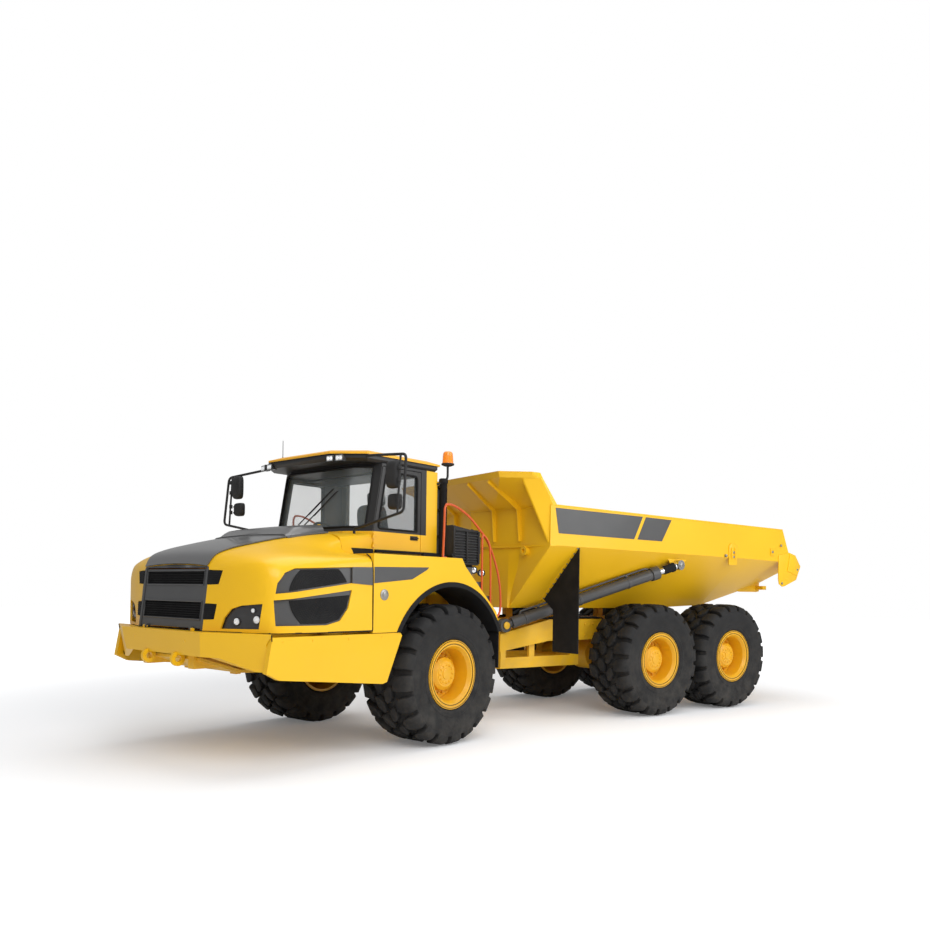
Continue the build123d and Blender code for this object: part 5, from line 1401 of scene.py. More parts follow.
@dataclass
class CabFittings:
    """Glass seals, wipers, the door's handle, the roof's lamps, the aerial and the beacon."""

    shop: Workshop
    half: float = 0.87
    belt_z: float = 2.4
    top_z: float = 3.18
    lean: float = 0.14
    nose: Flat = (2.1, 0.56)
    corner_x: float = 1.93
    glass: tuple[Flat, ...] = ((1.22, 2.44), (1.847, 2.44), (1.727, 3.09), (1.22, 3.09))
    # place of each left roof lamp and how far it turns outwards, in degrees
    lamps: tuple[tuple[Point, float], ...] = (((2.288, 0.552, 3.196), 4.0), ((2.276, 0.694, 3.192), 12.0))
    beacon: Flat = (0.72, 0.9)

    def shift(self, z: float) -> float:
        """How far the leaning upper cab has moved back at a height."""
        return self.lean * max(z - self.belt_z, 0) / (self.top_z - self.belt_z)

    def front_point(self, y: float, z: float, out: float = 0.0) -> Point:
        """A point on the windscreen's outer face, moved forward by a distance."""
        share = max(abs(y) - self.nose[1], 0.0) / (self.half - self.nose[1])
        return self.nose[0] + (self.corner_x - self.nose[0]) * share - self.shift(z) + out, y, z

    def screen_seal(self, pen: Pen) -> None:
        """Draw the rubber round the windscreen."""
        low, high, edge = 2.452, 3.14, 0.79
        bottom = [self.front_point(y, low, 0.001) for y in (-edge, -0.56, 0.56, edge)]
        top = [self.front_point(y, high, 0.001) for y in (edge, 0.56, -0.56, -edge)]
        pen.pipe([*bottom, *top, bottom[0]], 0.013, 10, bend=0.04)

    def glass_seal(self, side: int) -> Draw:
        """Draw the rubber round the glass of the door, or of the cab's right side."""
        route = [(x, side * (self.half + 0.001), z) for x, z in self.glass]
        return lambda pen: pen.pipe([*route, route[0]], 0.012, 10, 0.05)

    def wipers(self, pen: Pen) -> None:
        """Draw both wipers' arms, blades and pivots."""
        for foot, tip in (((-0.262, 2.47), (0.29, 2.88)), ((-0.15, 2.462), (0.37, 2.85))):
            start, end = self.front_point(*foot, 0.026), self.front_point(*tip, 0.03)
            pen.pipe([self.front_point(*foot, -0.004), start, end], 0.007, 8)
            run = Vector(end) - Vector(start)
            blade_low, blade_high = Vector(start) + run * 0.36, Vector(end) + run * 0.06
            for lift in (0.004, 0.012):
                pen.pipe([blade_low - FORWARD * lift, blade_high - FORWARD * lift], 0.005, 6)
            pen.disc(self.front_point(*foot), Vector((1, 0, 0.2)), 0.024, 0.03, 0.008, 20)

    def door_furniture(self, pen: Pen) -> None:
        """Draw the door's handle and its seat."""
        y = self.half
        pen.box((1.205, y - 0.002, 2.335), (1.33, y + 0.006, 2.385))
        pen.pipe([(1.222, y + 0.002, 2.36), (1.222, y + 0.035, 2.36), (1.312, y + 0.035, 2.36),
                  (1.312, y + 0.002, 2.36)], 0.008, 10, bend=0.02)

    @staticmethod
    def antenna(pen: Pen) -> None:
        """Draw the aerial on the roof."""
        pen.lathe(((3.27, TIP), (3.27, 0.022), (3.318, 0.02), (3.345, 0.008), (3.35, 0.0045), (3.545, 0.0035),
                   (3.552, TIP)), (2.06, -0.6, 0), UP, 16, closed=False)

    @staticmethod
    def lamp_body(pen: Pen) -> None:
        """Draw a roof lamp's housing and foot."""
        for low, high, u, v in ((-0.075, -0.01, 0.042, 0.026), (-0.01, 0.004, 0.052, 0.036)):
            pen.prism(((-u, -v), (u, -v), (u, v), (-u, v)), "x", low, high)
        pen.box((-0.05, -0.012, 0.02), (-0.02, 0.012, 0.05))

    @staticmethod
    def lamp_cup(pen: Pen) -> None:
        """Draw a roof lamp's bright back."""
        pen.prism(((-0.044, -0.028), (0.044, -0.028), (0.044, 0.028), (-0.044, 0.028)), "x", 0.0, 0.006)

    @staticmethod
    def lamp_lens(pen: Pen) -> None:
        """Draw a roof lamp's two lenses."""
        for centre in (-0.022, 0.022):
            pen.disc((0.006, centre, 0.0), FORWARD, 0.02, 0.005, 0.003, 20)

    def at_lamps(self, part: Draw) -> Draw:
        """Draw a part at every roof lamp.

        Args:
            part: Draws it at the origin.

        Returns:
            Draws it at each lamp.
        """
        def draw(pen: Pen) -> None:
            """Draw the part, turn it and add it to the mesh."""
            for side in SIDES:
                for (x, y, z), turn in self.lamps:
                    new, data = Pen(), bpy.data.meshes.new("part")
                    part(new)
                    new.bm.transform(Matrix.Translation((x, side * y, z)) @ Matrix.Rotation(
                        math.radians(side * turn), 4, "Z"))
                    new.bm.to_mesh(data)
                    new.bm.free()
                    pen.bm.from_mesh(data)
                    bpy.data.meshes.remove(data)

        return draw

    def beacon_pole(self, pen: Pen) -> None:
        """Draw the beacon's pole, bracket and foot."""
        x, y = self.beacon
        pen.pipe([(0.875, 0.868, 3.04), (0.85, y, 3.05), (x, y, 3.12), (x, y, 3.29)], 0.014, 16, 0.04)
        pen.lathe(((3.272, TIP), (3.272, 0.04), (3.286, 0.076), (3.3, 0.08), (3.306, 0.077), (3.306, TIP)), (x, y, 0),
                  UP, 36, closed=False)

    def beacon_dome(self, pen: Pen) -> None:
        """Draw the ribbed amber dome."""
        profile = [(3.304, TIP), (3.304, 0.069)]
        for i in range(8):
            profile += [(3.312 + i * 0.012, 0.0685 - i * 0.0008), (3.318 + i * 0.012, 0.066 - i * 0.0008)]
        profile += [(3.41, 0.061), (3.436, 0.056), (3.45, 0.042), (3.456, 0.02), (3.457, TIP)]
        pen.lathe(profile, (*self.beacon, 0), UP, 40, closed=False)

    def build(self) -> None:
        """Make all the cab's fittings."""
        shop, made = self.shop, {}
        for name, draw, finish, slot, body, bevel in (
                ("screen_seal", self.screen_seal, "Black rubber", Slot.RUBBER, Body.FRONT, 0.0),
                ("side_glass_seal", self.glass_seal(-1), "Black rubber", Slot.RUBBER, Body.FRONT, 0.0),
                ("door_glass_seal", self.glass_seal(1), "Black rubber", Slot.RUBBER, Body.DOOR, 0.0),
                ("wipers", self.wipers, "Black moulded plastic", Slot.PLASTIC, Body.FRONT, 0.0),
                ("door_handle", self.door_furniture, "Black moulded plastic", Slot.PLASTIC, Body.DOOR, 0.002),
                ("roof_antenna", self.antenna, "Black rubber", Slot.RUBBER, Body.FRONT, 0.0),
                ("roof_lamp_bodies", self.at_lamps(self.lamp_body), "Lamp housing", Slot.PLASTIC, Body.FRONT, 0.004),
                ("roof_lamp_cups", self.at_lamps(self.lamp_cup), "Lamp reflector", Slot.LAMP, Body.FRONT, 0.0),
                ("roof_lamp_lenses", self.at_lamps(self.lamp_lens), "Lamp lens", Slot.LAMP, Body.FRONT, 0.0),
                ("beacon_pole", self.beacon_pole, "Black moulded plastic", Slot.PLASTIC, Body.FRONT, 0.0),
                ("beacon_dome", self.beacon_dome, "Amber lens", Slot.AMBER, Body.FRONT, 0.0)):
            made[name] = shop.make(name, draw, shop.front, finish, slot, body, bevel)
        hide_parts("work_lights")
        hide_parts("beacon")


@dataclass
class Mirrors:
    """The mirrors' tube frames with a tall and a small head a side."""

    shop: Workshop
    tube: float = 0.015
    heads: tuple[tuple[int, float, float, float, float, float], ...] = (
        # side, x, y, low z, high z, half width
        (1, 2.15, 1.405, 2.82, 3.115, 0.092), (1, 2.12, 1.405, 2.6, 2.77, 0.085),
        (-1, 2.15, 1.42, 2.88, 3.175, 0.092), (-1, 2.12, 1.42, 2.665, 2.835, 0.085),
    )

    def frame(self, pen: Pen) -> None:
        """Draw both tube frames and the heads' clamps."""
        for side in SIDES:
            route = ((2.04, 0.882, 3.226), (2.04, 0.97, 3.226), (2.15, 1.6, 3.165), (2.2, 1.625, 2.562),
                     (2.15, 1.0, 2.45), (2.136, 0.8, 2.42), (2.136, 0.8, 2.352))
            pen.pipe([(x, side * y, z) for x, y, z in route], self.tube, 14, bend=0.06)
            pen.pipe([(2.152, side * 1.523, 3.174), (2.19, side * 1.523, 2.545)], self.tube * 0.8, 12)
        for side, x, y, low, high, half in self.heads:
            for share in (0.28, 0.72):
                z = low + (high - low) * share
                pen.pipe([(x, side * (y + half * 0.6), z), (x + 0.01, side * 1.523, z)], 0.01, 10)
                pen.pipe([(2.17, side * 1.523, z - 0.022), (2.17, side * 1.523, z + 0.022)], 0.021, 14)

    @staticmethod
    def rounded(half: float, tall: float, steps: int) -> list[Flat]:
        """The corners of a rounded oblong.

        Args:
            half: Half its width.
            tall: Half its height.
            steps: How many corners.

        Returns:
            The corners.
        """
        turns = [2 * math.pi * k / steps for k in range(steps)]
        return [tuple(size * math.copysign(abs(share) ** 0.45, share) for size, share in (
            (half, math.cos(turn)), (tall, math.sin(turn)))) for turn in turns]

    def head(self, pen: Pen) -> None:
        """Draw the rounded shells."""
        for side, x, y, low, high, half in self.heads:
            # place along x, share of the full outline
            pen.solid([(x + offset, side * y + u, (low + high) / 2 + v)
                       for u, v in self.rounded(half * share, (high - low) / 2 * share, 36)] for offset, share in (
                (-0.03, 0.94), (-0.034, 0.99), (-0.02, 1.0), (0.01, 0.97), (0.028, 0.86), (0.038, 0.62), (0.042, 0.3)))

    def face(self, pen: Pen) -> None:
        """Draw the mirror faces, which look back; their pale colour is a painted reflection."""
        for side, x, y, low, high, half in self.heads:
            outline = [(side * y + u, (low + high) / 2 + v)
                       for u, v in self.rounded(half * 0.86, (high - low) / 2 * 0.9, 28)]
            pen.prism(outline, "x", x - 0.036, x - 0.0315)

    def build(self) -> None:
        """Make the frames, shells and faces."""
        shop = self.shop
        frame = shop.make("mirror_frames", self.frame, shop.front, "Black moulded plastic", Slot.PLASTIC)
        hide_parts("mirrors")
        shop.make("mirror_shells", self.head, shop.front, "Black moulded plastic", Slot.PLASTIC, Body.FRONT, angle=50)
        shop.make("mirror_faces", self.face, shop.front, "Mirror face", Slot.GLASS)


def curve(points: Sequence[Sequence[float]], steps: int) -> list[tuple[float, ...]]:
    """Points on a smooth curve through given points.

    Args:
        points: The points it passes.
        steps: How many steps it takes from one to the next.

    Returns:
        The curve's points, with both ends.
    """
    found = []
    for i in range(len(points) - 1):
        four = points[max(i - 1, 0)], points[i], points[i + 1], points[min(i + 2, len(points) - 1)]
        for k in range(steps):
            t = k / steps
            found.append(tuple(
                0.5 * (2 * b + (c - a) * t + (2 * a - 5 * b + 4 * c - d) * t ** 2 + (3 * b - a - 3 * c + d) * t ** 3)
                for a, b, c, d in zip(*four)))
    return [*found, tuple(points[-1])]


def contains(outline: Outline, u: float, v: float) -> bool:
    """Whether a flat point lies inside an outline.

    Args:
        outline: Its corners.
        u: First coordinate of the point.
        v: Second coordinate.

    Returns:
        Whether the point is inside.
    """
    inside = False
    for (u0, v0), (u1, v1) in zip(outline, (*outline[1:], outline[0])):
        if (v0 > v) != (v1 > v) and u < u0 + (v - v0) * (u1 - u0) / (v1 - v0):
            inside = not inside
    return inside


@dataclass
class HoodSkin:
    """The hood's and the cowl's painted sheets, with rounded shoulders, openings and hinge lugs."""

    shop: Workshop
    face_x: float = 3.872
    foot_z: float = 1.334
    lean: float = 0.1086
    thickness: float = 0.022
    panel_from: int = 7
    panel_lift: float = 0.007
    # y and z of half the front edge, from its foot to the middle
    front: tuple[Flat, ...] = (
        (0.6, 1.334), (0.602, 1.5), (0.605, 1.7), (0.608, 1.86), (0.608, 1.915), (0.604, 1.929),
        (0.598, 1.942), (0.58, 1.955), (0.3, 1.974), (0.0, 1.98))
    # x, then y and z of half a section
    sections: tuple[tuple[float, tuple[Flat, ...]], ...] = (
        (3.735, ((0.985, 1.334), (0.982, 1.5), (0.979, 1.7), (0.974, 1.845), (0.93, 1.94), (0.86, 1.982),
                 (0.76, 2.014), (0.6, 2.058), (0.3, 2.071), (0.0, 2.075))),
        (3.6, ((1.3, 1.334), (1.296, 1.5), (1.291, 1.7), (1.283, 1.86), (1.222, 1.972), (1.1, 2.028),
               (0.9, 2.078), (0.61, 2.122), (0.3, 2.136), (0.0, 2.14))),
        (3.35, ((1.385, 1.334), (1.381, 1.5), (1.376, 1.7), (1.368, 1.895), (1.3, 2.012), (1.17, 2.078),
                (0.94, 2.134), (0.635, 2.19), (0.3, 2.207), (0.0, 2.212))),
        (2.9, ((1.425, 1.334), (1.422, 1.5), (1.418, 1.7), (1.412, 1.93), (1.35, 2.056), (1.12, 2.132),
               (0.92, 2.205), (0.675, 2.285), (0.34, 2.305), (0.0, 2.312))),
        (2.442, ((1.438, 1.334), (1.435, 1.5), (1.432, 1.7), (1.428, 1.95), (1.37, 2.085), (0.99, 2.148),
                 (0.915, 2.27), (0.73, 2.35), (0.36, 2.371), (0.0, 2.378))),
    )
    cowl: tuple[tuple[float, tuple[Flat, ...]], ...] = (
        (2.434, ((0.956, 2.128), (0.945, 2.19), (0.925, 2.25), (0.9, 2.3), (0.85, 2.326), (0.73, 2.35),
                 (0.4, 2.368), (0.0, 2.376))),
        (2.2, ((0.905, 2.128), (0.9, 2.19), (0.892, 2.26), (0.875, 2.32), (0.83, 2.35), (0.73, 2.372),
               (0.4, 2.388), (0.0, 2.396))),
        (1.932, ((0.873, 2.128), (0.873, 2.2), (0.872, 2.29), (0.866, 2.345), (0.83, 2.375), (0.73, 2.392),
                 (0.4, 2.405), (0.0, 2.412))),
    )
    lamp: tuple[Flat, ...] = (
        (0.8, 1.362), (0.834, 1.465), (0.91, 1.552), (1.017, 1.585), (1.237, 1.606), (1.206, 1.368))
    slots: tuple[tuple[Flat, ...], ...] = (
        ((0.596, 1.922), (0.79, 1.916), (0.75, 1.782), (0.596, 1.777)),
        ((0.596, 1.6), (0.745, 1.596), (0.722, 1.448), (0.596, 1.442)))

    def on_face(self, y: float, z: float) -> Point:
        """A point of the leaning front face."""
        return self.face_x - (z - self.foot_z) * self.lean, y, z

    def cheek_x(self, y: float, z: float) -> float:
        """How far forward the cheek stands between the face and the corner."""
        start = self.on_face(0.6, z)[0]
        return start + (3.735 - start) * (abs(y) - 0.6) / 0.385

    @staticmethod
    def grid(halves: Sequence[Sequence[Point]], first: int = 0) -> list[list[Point]]:
        """Points of a smooth sheet over half sections and their mirror images.

        Args:
            halves: Half sections from the foot to the middle.
            first: The given point at which the sheet starts.

        Returns:
            Rows of points from the left to the right.
        """
        smooth = [curve(half, 4)[first * 4:] for half in halves]
        columns = [curve([row[i] for row in smooth], 7) for i in range(len(smooth[0]))]
        rows = []
        for i in range(len(columns[0])):
            half = [column[i] for column in columns]
            rows.append(half + [(x, -y, z) for x, y, z in half[-2::-1]])
        return rows

    def sheet(self, pen: Pen, halves: Sequence[Sequence[Point]]) -> None:
        """Draw a smooth sheet over half sections and their mirror images."""
        pen.join(pen.rows(self.grid(halves)), closed=False)

    def halves(self) -> list[list[Point]]:
        """The hood's half sections, from its front edge back."""
        return [[self.on_face(y, z) for y, z in self.front]] + [
            [(x, y, z) for y, z in half] for x, half in self.sections]

    def top_panel(self, pen: Pen) -> None:
        """Draw the dark panel that lies over the hood's middle."""
        rows = [[Vector(p) for p in row] for row in self.grid(self.halves(), self.panel_from)]
        pen.skin([[point + normal * math.copysign(self.panel_lift, normal.z)
                   for point, normal in zip(row, normals)][::-1]
                  for row, normals in zip(rows, directions(rows))], 0.012)

    @staticmethod
    def cut(bm: bmesh.types.BMesh, outline: Outline, axis: int, near: Callable[[Vector], bool]) -> None:
        """Cut an outline through a sheet and take out what lies inside.

        Args:
            bm: The sheet.
            outline: Corners in the axis and in z.
            axis: 0 for x or 1 for y.
            near: Tells by its middle whether a face may be cut.
        """
        for (u0, z0), (u1, z1) in zip(outline, (*outline[1:], outline[0])):
            faces = [face for face in bm.faces if near(face.calc_center_median())]
            parts = {edge for face in faces for edge in face.edges} | {vert for face in faces for vert in face.verts}
            point, normal = Vector((0, 0, z0)), Vector((0, 0, u0 - u1))
            point[axis], normal[axis] = u0, z1 - z0
            bmesh.ops.bisect_plane(bm, geom=[*faces, *parts], dist=1e-5, plane_co=point, plane_no=normal)
        gone = []
        for face in bm.faces:
            middle = face.calc_center_median()
            if near(middle) and contains(outline, middle[axis], middle.z):
                gone.append(face)
        bmesh.ops.delete(bm, geom=gone, context="FACES")

    def thicken(self, bm: bmesh.types.BMesh) -> None:
        """Give a sheet its thickness inwards and close its rims.

        Args:
            bm: The sheet.
        """
        bmesh.ops.recalc_face_normals(bm, faces=bm.faces)
        if max(bm.faces, key=lambda face: face.calc_center_median().z).normal.z < 0:
            bmesh.ops.reverse_faces(bm, faces=bm.faces)
        bm.normal_update()
        rim = [tuple(edge.verts) for edge in bm.edges if edge.is_boundary]
        sheet = list(bm.faces)
        twins = {vert: bm.verts.new(vert.co - vert.normal * self.thickness) for vert in list(bm.verts)}
        for face in sheet:
            bm.faces.new([twins[vert] for vert in reversed(face.verts)])
        for one, other in rim:
            bm.faces.new((one, other, twins[other], twins[one]))

    def hood(self, pen: Pen) -> None:
        """Draw the hood's sheet with all its openings, and its two hinge lugs."""
        self.sheet(pen, self.halves())
        for side in SIDES:
            for outline in (SideScreens.upper, SideScreens.lower):
                self.cut(pen.bm, outline, 0, lambda c, s=side: c.y * s > 1.2 and c.z < 2.0 and c.x > 2.6)
            for outline in (self.lamp, *self.slots):
                turned = [(side * y, z) for y, z in outline]
                self.cut(pen.bm, turned, 1, lambda c, s=side: c.y * s > 0.59 and c.x > 3.57 and c.z < 1.96)
        self.thicken(pen.bm)
        for side in SIDES:
            y0, y1 = sorted((side * 0.506, side * 0.53))
            pen.disc((2.4, y0, 2.44), LEFT, 0.02, y1 - y0, 0.0, 24)
        pen.boxes((2.402, 0.507, 2.421), (2.446, 0.529, 2.439))

    def face_frame(self, pen: Pen) -> None:
        """Draw the dark frame of the front face, beside and above the grille."""
        corners = ((0.567, 1.336), (0.604, 1.336), (0.609, 1.865), (0.609, 1.916), (0.603, 1.934), (0.582, 1.957),
                   (0.0, 1.981), (0.0, 1.943), (0.567, 1.943))
        for side in SIDES:
            pen.solid([(self.on_face(y, z)[0] - depth, side * y, z) for y, z in corners] for depth in (-0.002, 0.03))

    def slot_mesh(self, pen: Pen) -> None:
        """Draw level bars across the slots beside the grille, on a black floor that paints the shade inside the slots.
        """
        for side in SIDES:
            for outline in self.slots:
                low, high = min(z for _, z in outline), max(z for _, z in outline)
                for k in range(int((high - low) / 0.021)):
                    z = low + 0.012 + k * 0.021
                    outer = max((u0 + (z - v0) * (u1 - u0) / (v1 - v0))
                                for (u0, v0), (u1, v1) in zip(outline, (*outline[1:], outline[0]))
                                if (v0 > z) != (v1 > z))
                    pen.pipe([(self.cheek_x(y, z) + 0.006, side * y, z) for y in (0.612, outer - 0.01)], 0.0032, 6)
                middle, centre = sum(y for y, _ in outline) / len(outline), (low + high) / 2
                # The floor is black fill that paints the shade inside the slot.
                floor = [(middle + (u - middle) * 0.94, centre + (v - centre) * 0.9) for u, v in outline]
                pen.solid([(self.cheek_x(y, z) + lift, side * y, z) for y, z in floor] for lift in (0.0045, -0.03))

    def cowl_sheet(self, pen: Pen) -> None:
        """Draw the cowl before the cab and its lower side walls."""
        self.sheet(pen, [[(x, y, z) for y, z in half] for x, half in self.cowl])
        self.thicken(pen.bm)
        pen.boxes((1.942, 0.83, 1.502), (2.43, 0.868, 2.14))
        pen.box((2.392, -0.83, 1.502), (2.43, 0.83, 2.33))

    def build(self) -> None:
        """Make the sheets and the dark front frame."""
        shop = self.shop
        hood = shop.make("hood_sheet", self.hood, shop.front, "Yellow gloss paint", Slot.YELLOW, Body.HOOD, angle=38)
        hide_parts("hood")
        shop.make("hood_top_panel", self.top_panel, shop.front, "Hood top paint", Slot.PANEL, Body.HOOD, angle=50)
        cowl = shop.make("cowl_sheet", self.cowl_sheet, shop.front, "Yellow gloss paint", Slot.YELLOW, Body.FRONT,
                         angle=38)
        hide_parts("cowl")
        shop.make("hood_face_frame", self.face_frame, shop.front, "Charcoal paint", Slot.GREY, Body.HOOD, bevel=0.004)
        shop.make("cheek_slot_mesh", self.slot_mesh, shop.front, "Black rubber", Slot.PLASTIC, Body.HOOD)


@dataclass
class Rails:
    """Orange handrails in an arc over each ladder."""

    shop: Workshop
    radius: float = 0.0135
    long: tuple[Flat, ...] = (
        (1.262, 2.732), (1.162, 2.734), (1.009, 2.69), (0.849, 2.615), (0.686, 2.5), (0.542, 2.38),
        (0.443, 2.252), (0.354, 2.088), (0.289, 1.922), (0.25, 1.722), (0.252, 1.511), (0.335, 1.42))
    short: tuple[Flat, ...] = ((0.64, 1.725), (0.64, 2.448), (0.497, 2.33), (0.478, 2.069), (0.471, 1.57))

    def draw(self, pen: Pen) -> None:
        """Draw both rails a side with their feet."""
        for side in SIDES:
            y = side * 1.375
            arc = [(x, y, z) for x, z in curve(self.long, 5)]
            pen.pipe([(1.31, y, 2.128), (1.298, y, 2.4), (1.29, y, 2.69), *arc], self.radius, 14, bend=0.03)
            y = side * 1.398
            pen.pipe([(x, y, z) for x, z in self.short], self.radius * 0.9, 12, bend=0.07)
            for x, z in ((1.31, 2.126), (0.64, 1.722), (0.471, 1.566)):
                pen.disc((x, y, z), UP, 0.03, 0.008, 0.003, 20)

    def build(self) -> None:
        """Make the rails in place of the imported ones."""
        rails = self.shop.make("handrail_tubes", self.draw, self.shop.front, "Orange rail paint", Slot.ORANGE,
                               Body.FRONT)
        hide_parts("handrails")


@dataclass
class RearOfCab:
    """Ribbed intake, exhaust stack, service cabinet, canister and lamps behind the cab."""

    shop: Workshop
    pods: tuple[Point, ...] = ((0.328, 1.01, 2.012), (0.172, 1.01, 1.98))

    @staticmethod
    def intake(pen: Pen) -> None:
        """Draw the ribbed hose up the cab's rear corner, with its cap and foot."""
        profile = [(2.13, TIP), (2.13, 0.058), (2.18, 0.058)]
        for i in range(56):
            z = 2.186 + i * 0.0155
            profile += [(z, 0.044), (z + 0.004, 0.05), (z + 0.009, 0.05), (z + 0.013, 0.044)]
        profile += [(3.056, 0.056), (3.1, 0.056), (3.112, 0.044), (3.114, TIP)]
        pen.lathe(profile, (0.8, 0.905, 0), UP, 28, closed=False)
        for z in (2.4, 2.72, 3.0):
            pen.box((0.79, 0.82, z), (0.866, 0.9, z + 0.02))

    @staticmethod
    def stack(pen: Pen) -> None:
        """Draw the exhaust stack behind it, with bands and an open, slanted end."""
        profile = [(2.071, TIP), (2.071, 0.05), (2.12, 0.05), (2.13, 0.072)]
        for z in (2.3, 2.6, 2.9):
            profile += [(z, 0.072), (z, 0.076), (z + 0.02, 0.076), (z + 0.02, 0.072)]
        profile += [(2.98, 0.072), (2.99, 0.05), (3.035, 0.05), (3.035, 0.044), (2.8, 0.044), (2.8, TIP)]
        pen.lathe(profile, (0.762, 0.79, 0), UP, 32, closed=False)

    @staticmethod
    def cabinet(pen: Pen) -> None:
        """Draw the cabinet's sloped body with recessed bays, the right box and the shelf."""
        outline = ((0.29, 2.071), (0.69, 2.071), (0.8, 2.18), (0.8, 2.545), (0.31, 2.492))
        pen.prism(outline, "y", 0.885, 1.06)
        for x0, x1, z0, z1 in ((0.3, 0.33, 2.09, 2.49), (0.765, 0.8, 2.2, 2.54), (0.33, 0.765, 2.475, 2.505),
                               (0.53, 0.555, 2.09, 2.49), (0.33, 0.7, 2.071, 2.095)):
            pen.box((x0, 1.055, z0), (x1, 1.085, z1))
        pen.box((0.45, -1.09, 2.071), (0.64, -0.88, 2.4))
        pen.box((0.43, -0.92, 1.99), (0.86, 0.92, 2.07))
        pen.boxes((0.76, 0.38, 1.271), (0.85, 0.48, 1.99))

    @staticmethod
    def slats(pen: Pen) -> None:
        """Draw the louvres in the cabinet's bays."""
        for x0, x1 in ((0.335, 0.525), (0.56, 0.76)):
            for i in range(11):
                z = 2.115 + i * 0.033
                pen.prism(((1.058, z), (1.076, z - 0.01), (1.078, z - 0.007), (1.06, z + 0.004)), "x", x0, x1)

    def service_parts(self, pen: Pen) -> None:
        """Draw the canister, its hoses and the lamp pods."""
        pen.lathe(((2.215, TIP), (2.215, 0.04), (2.225, 0.046), (2.4, 0.046), (2.402, 0.052), (2.425, 0.052),
                   (2.43, 0.03), (2.45, 0.028), (2.452, TIP)), (0.262, 1.0, 0), UP, 28, closed=False)
        pen.box((0.262, 0.955, 2.3), (0.312, 1.0, 2.34))
        pen.pipe([(0.262, 1.0, 2.22), (0.262, 1.0, 2.14), (0.32, 1.02, 2.1)], 0.012, 10, 0.04)
        pen.pipe([(0.262, 1.0, 2.45), (0.262, 1.0, 2.49), (0.34, 0.97, 2.52)], 0.01, 10, 0.04)
        pen.box((0.3, 0.92, 2.01), (0.44, 0.96, 2.072))
        pen.pipe([(0.39, 0.94, 2.05), (0.32, 0.985, 2.01), (0.16, 0.985, 1.975)], 0.014, 10, 0.04)
        for pod in self.pods:
            pen.lathe(((-0.06, TIP), (-0.06, 0.028), (-0.04, 0.044), (0.004, 0.048), (0.01, 0.046), (0.01, 0.038),
                       (-0.004, 0.034), (-0.004, TIP)), pod, self.pods_face(), 28, closed=False)

    @staticmethod
    def pods_face() -> Vector:
        """The way that the lamp pods look."""
        return Vector((0.45, 1, -0.1)).normalized()

    def pod_lenses(self, pen: Pen) -> None:
        """Draw the pods' bright faces."""
        facing = self.pods_face()
        for pod in self.pods:
            pen.disc(Vector(pod) - facing * 0.003, facing, 0.0335, 0.008, 0.004, 28)

    @staticmethod
    def hoses(pen: Pen) -> None:
        """Draw the hoses down behind the cab towards the frame."""
        for x, y, reach in ((0.42, 0.8, 0.0), (0.45, 0.74, 0.05), (0.405, 0.68, 0.1), (0.44, -0.7, 0.04)):
            route = [(x, y, 2.0), (x - 0.02, y * 0.95, 1.75), (x + 0.05, y * 0.8, 1.5),
                     (x + 0.16 - reach, y * 0.62, 1.3)]
            pen.pipe(curve(route, 6), 0.016, 10)

    def build(self) -> None:
        """Make every part."""
        shop = self.shop
        shop.make("intake_hose", self.intake, shop.front, "Black rubber", Slot.RUBBER)
        stack = shop.make("exhaust_stack", self.stack, shop.front, "Charcoal paint", Slot.GREY)
        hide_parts("exhaust")
        cabinet = shop.make("service_cabinet", self.cabinet, shop.front, "Black moulded plastic", Slot.PLASTIC,
                            bevel=0.006)
        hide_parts("rear_unit")
        for name, draw, finish, slot in (("cabinet_louvres", self.slats, "Charcoal paint", Slot.GREY),
                                         ("service_parts", self.service_parts, "Black moulded plastic", Slot.PLASTIC),
                                         ("pod_lenses", self.pod_lenses, "Lamp reflector", Slot.LAMP),
                                         ("cab_hoses", self.hoses, "Black rubber", Slot.RUBBER)):
            shop.make(name, draw, shop.front, finish, slot)


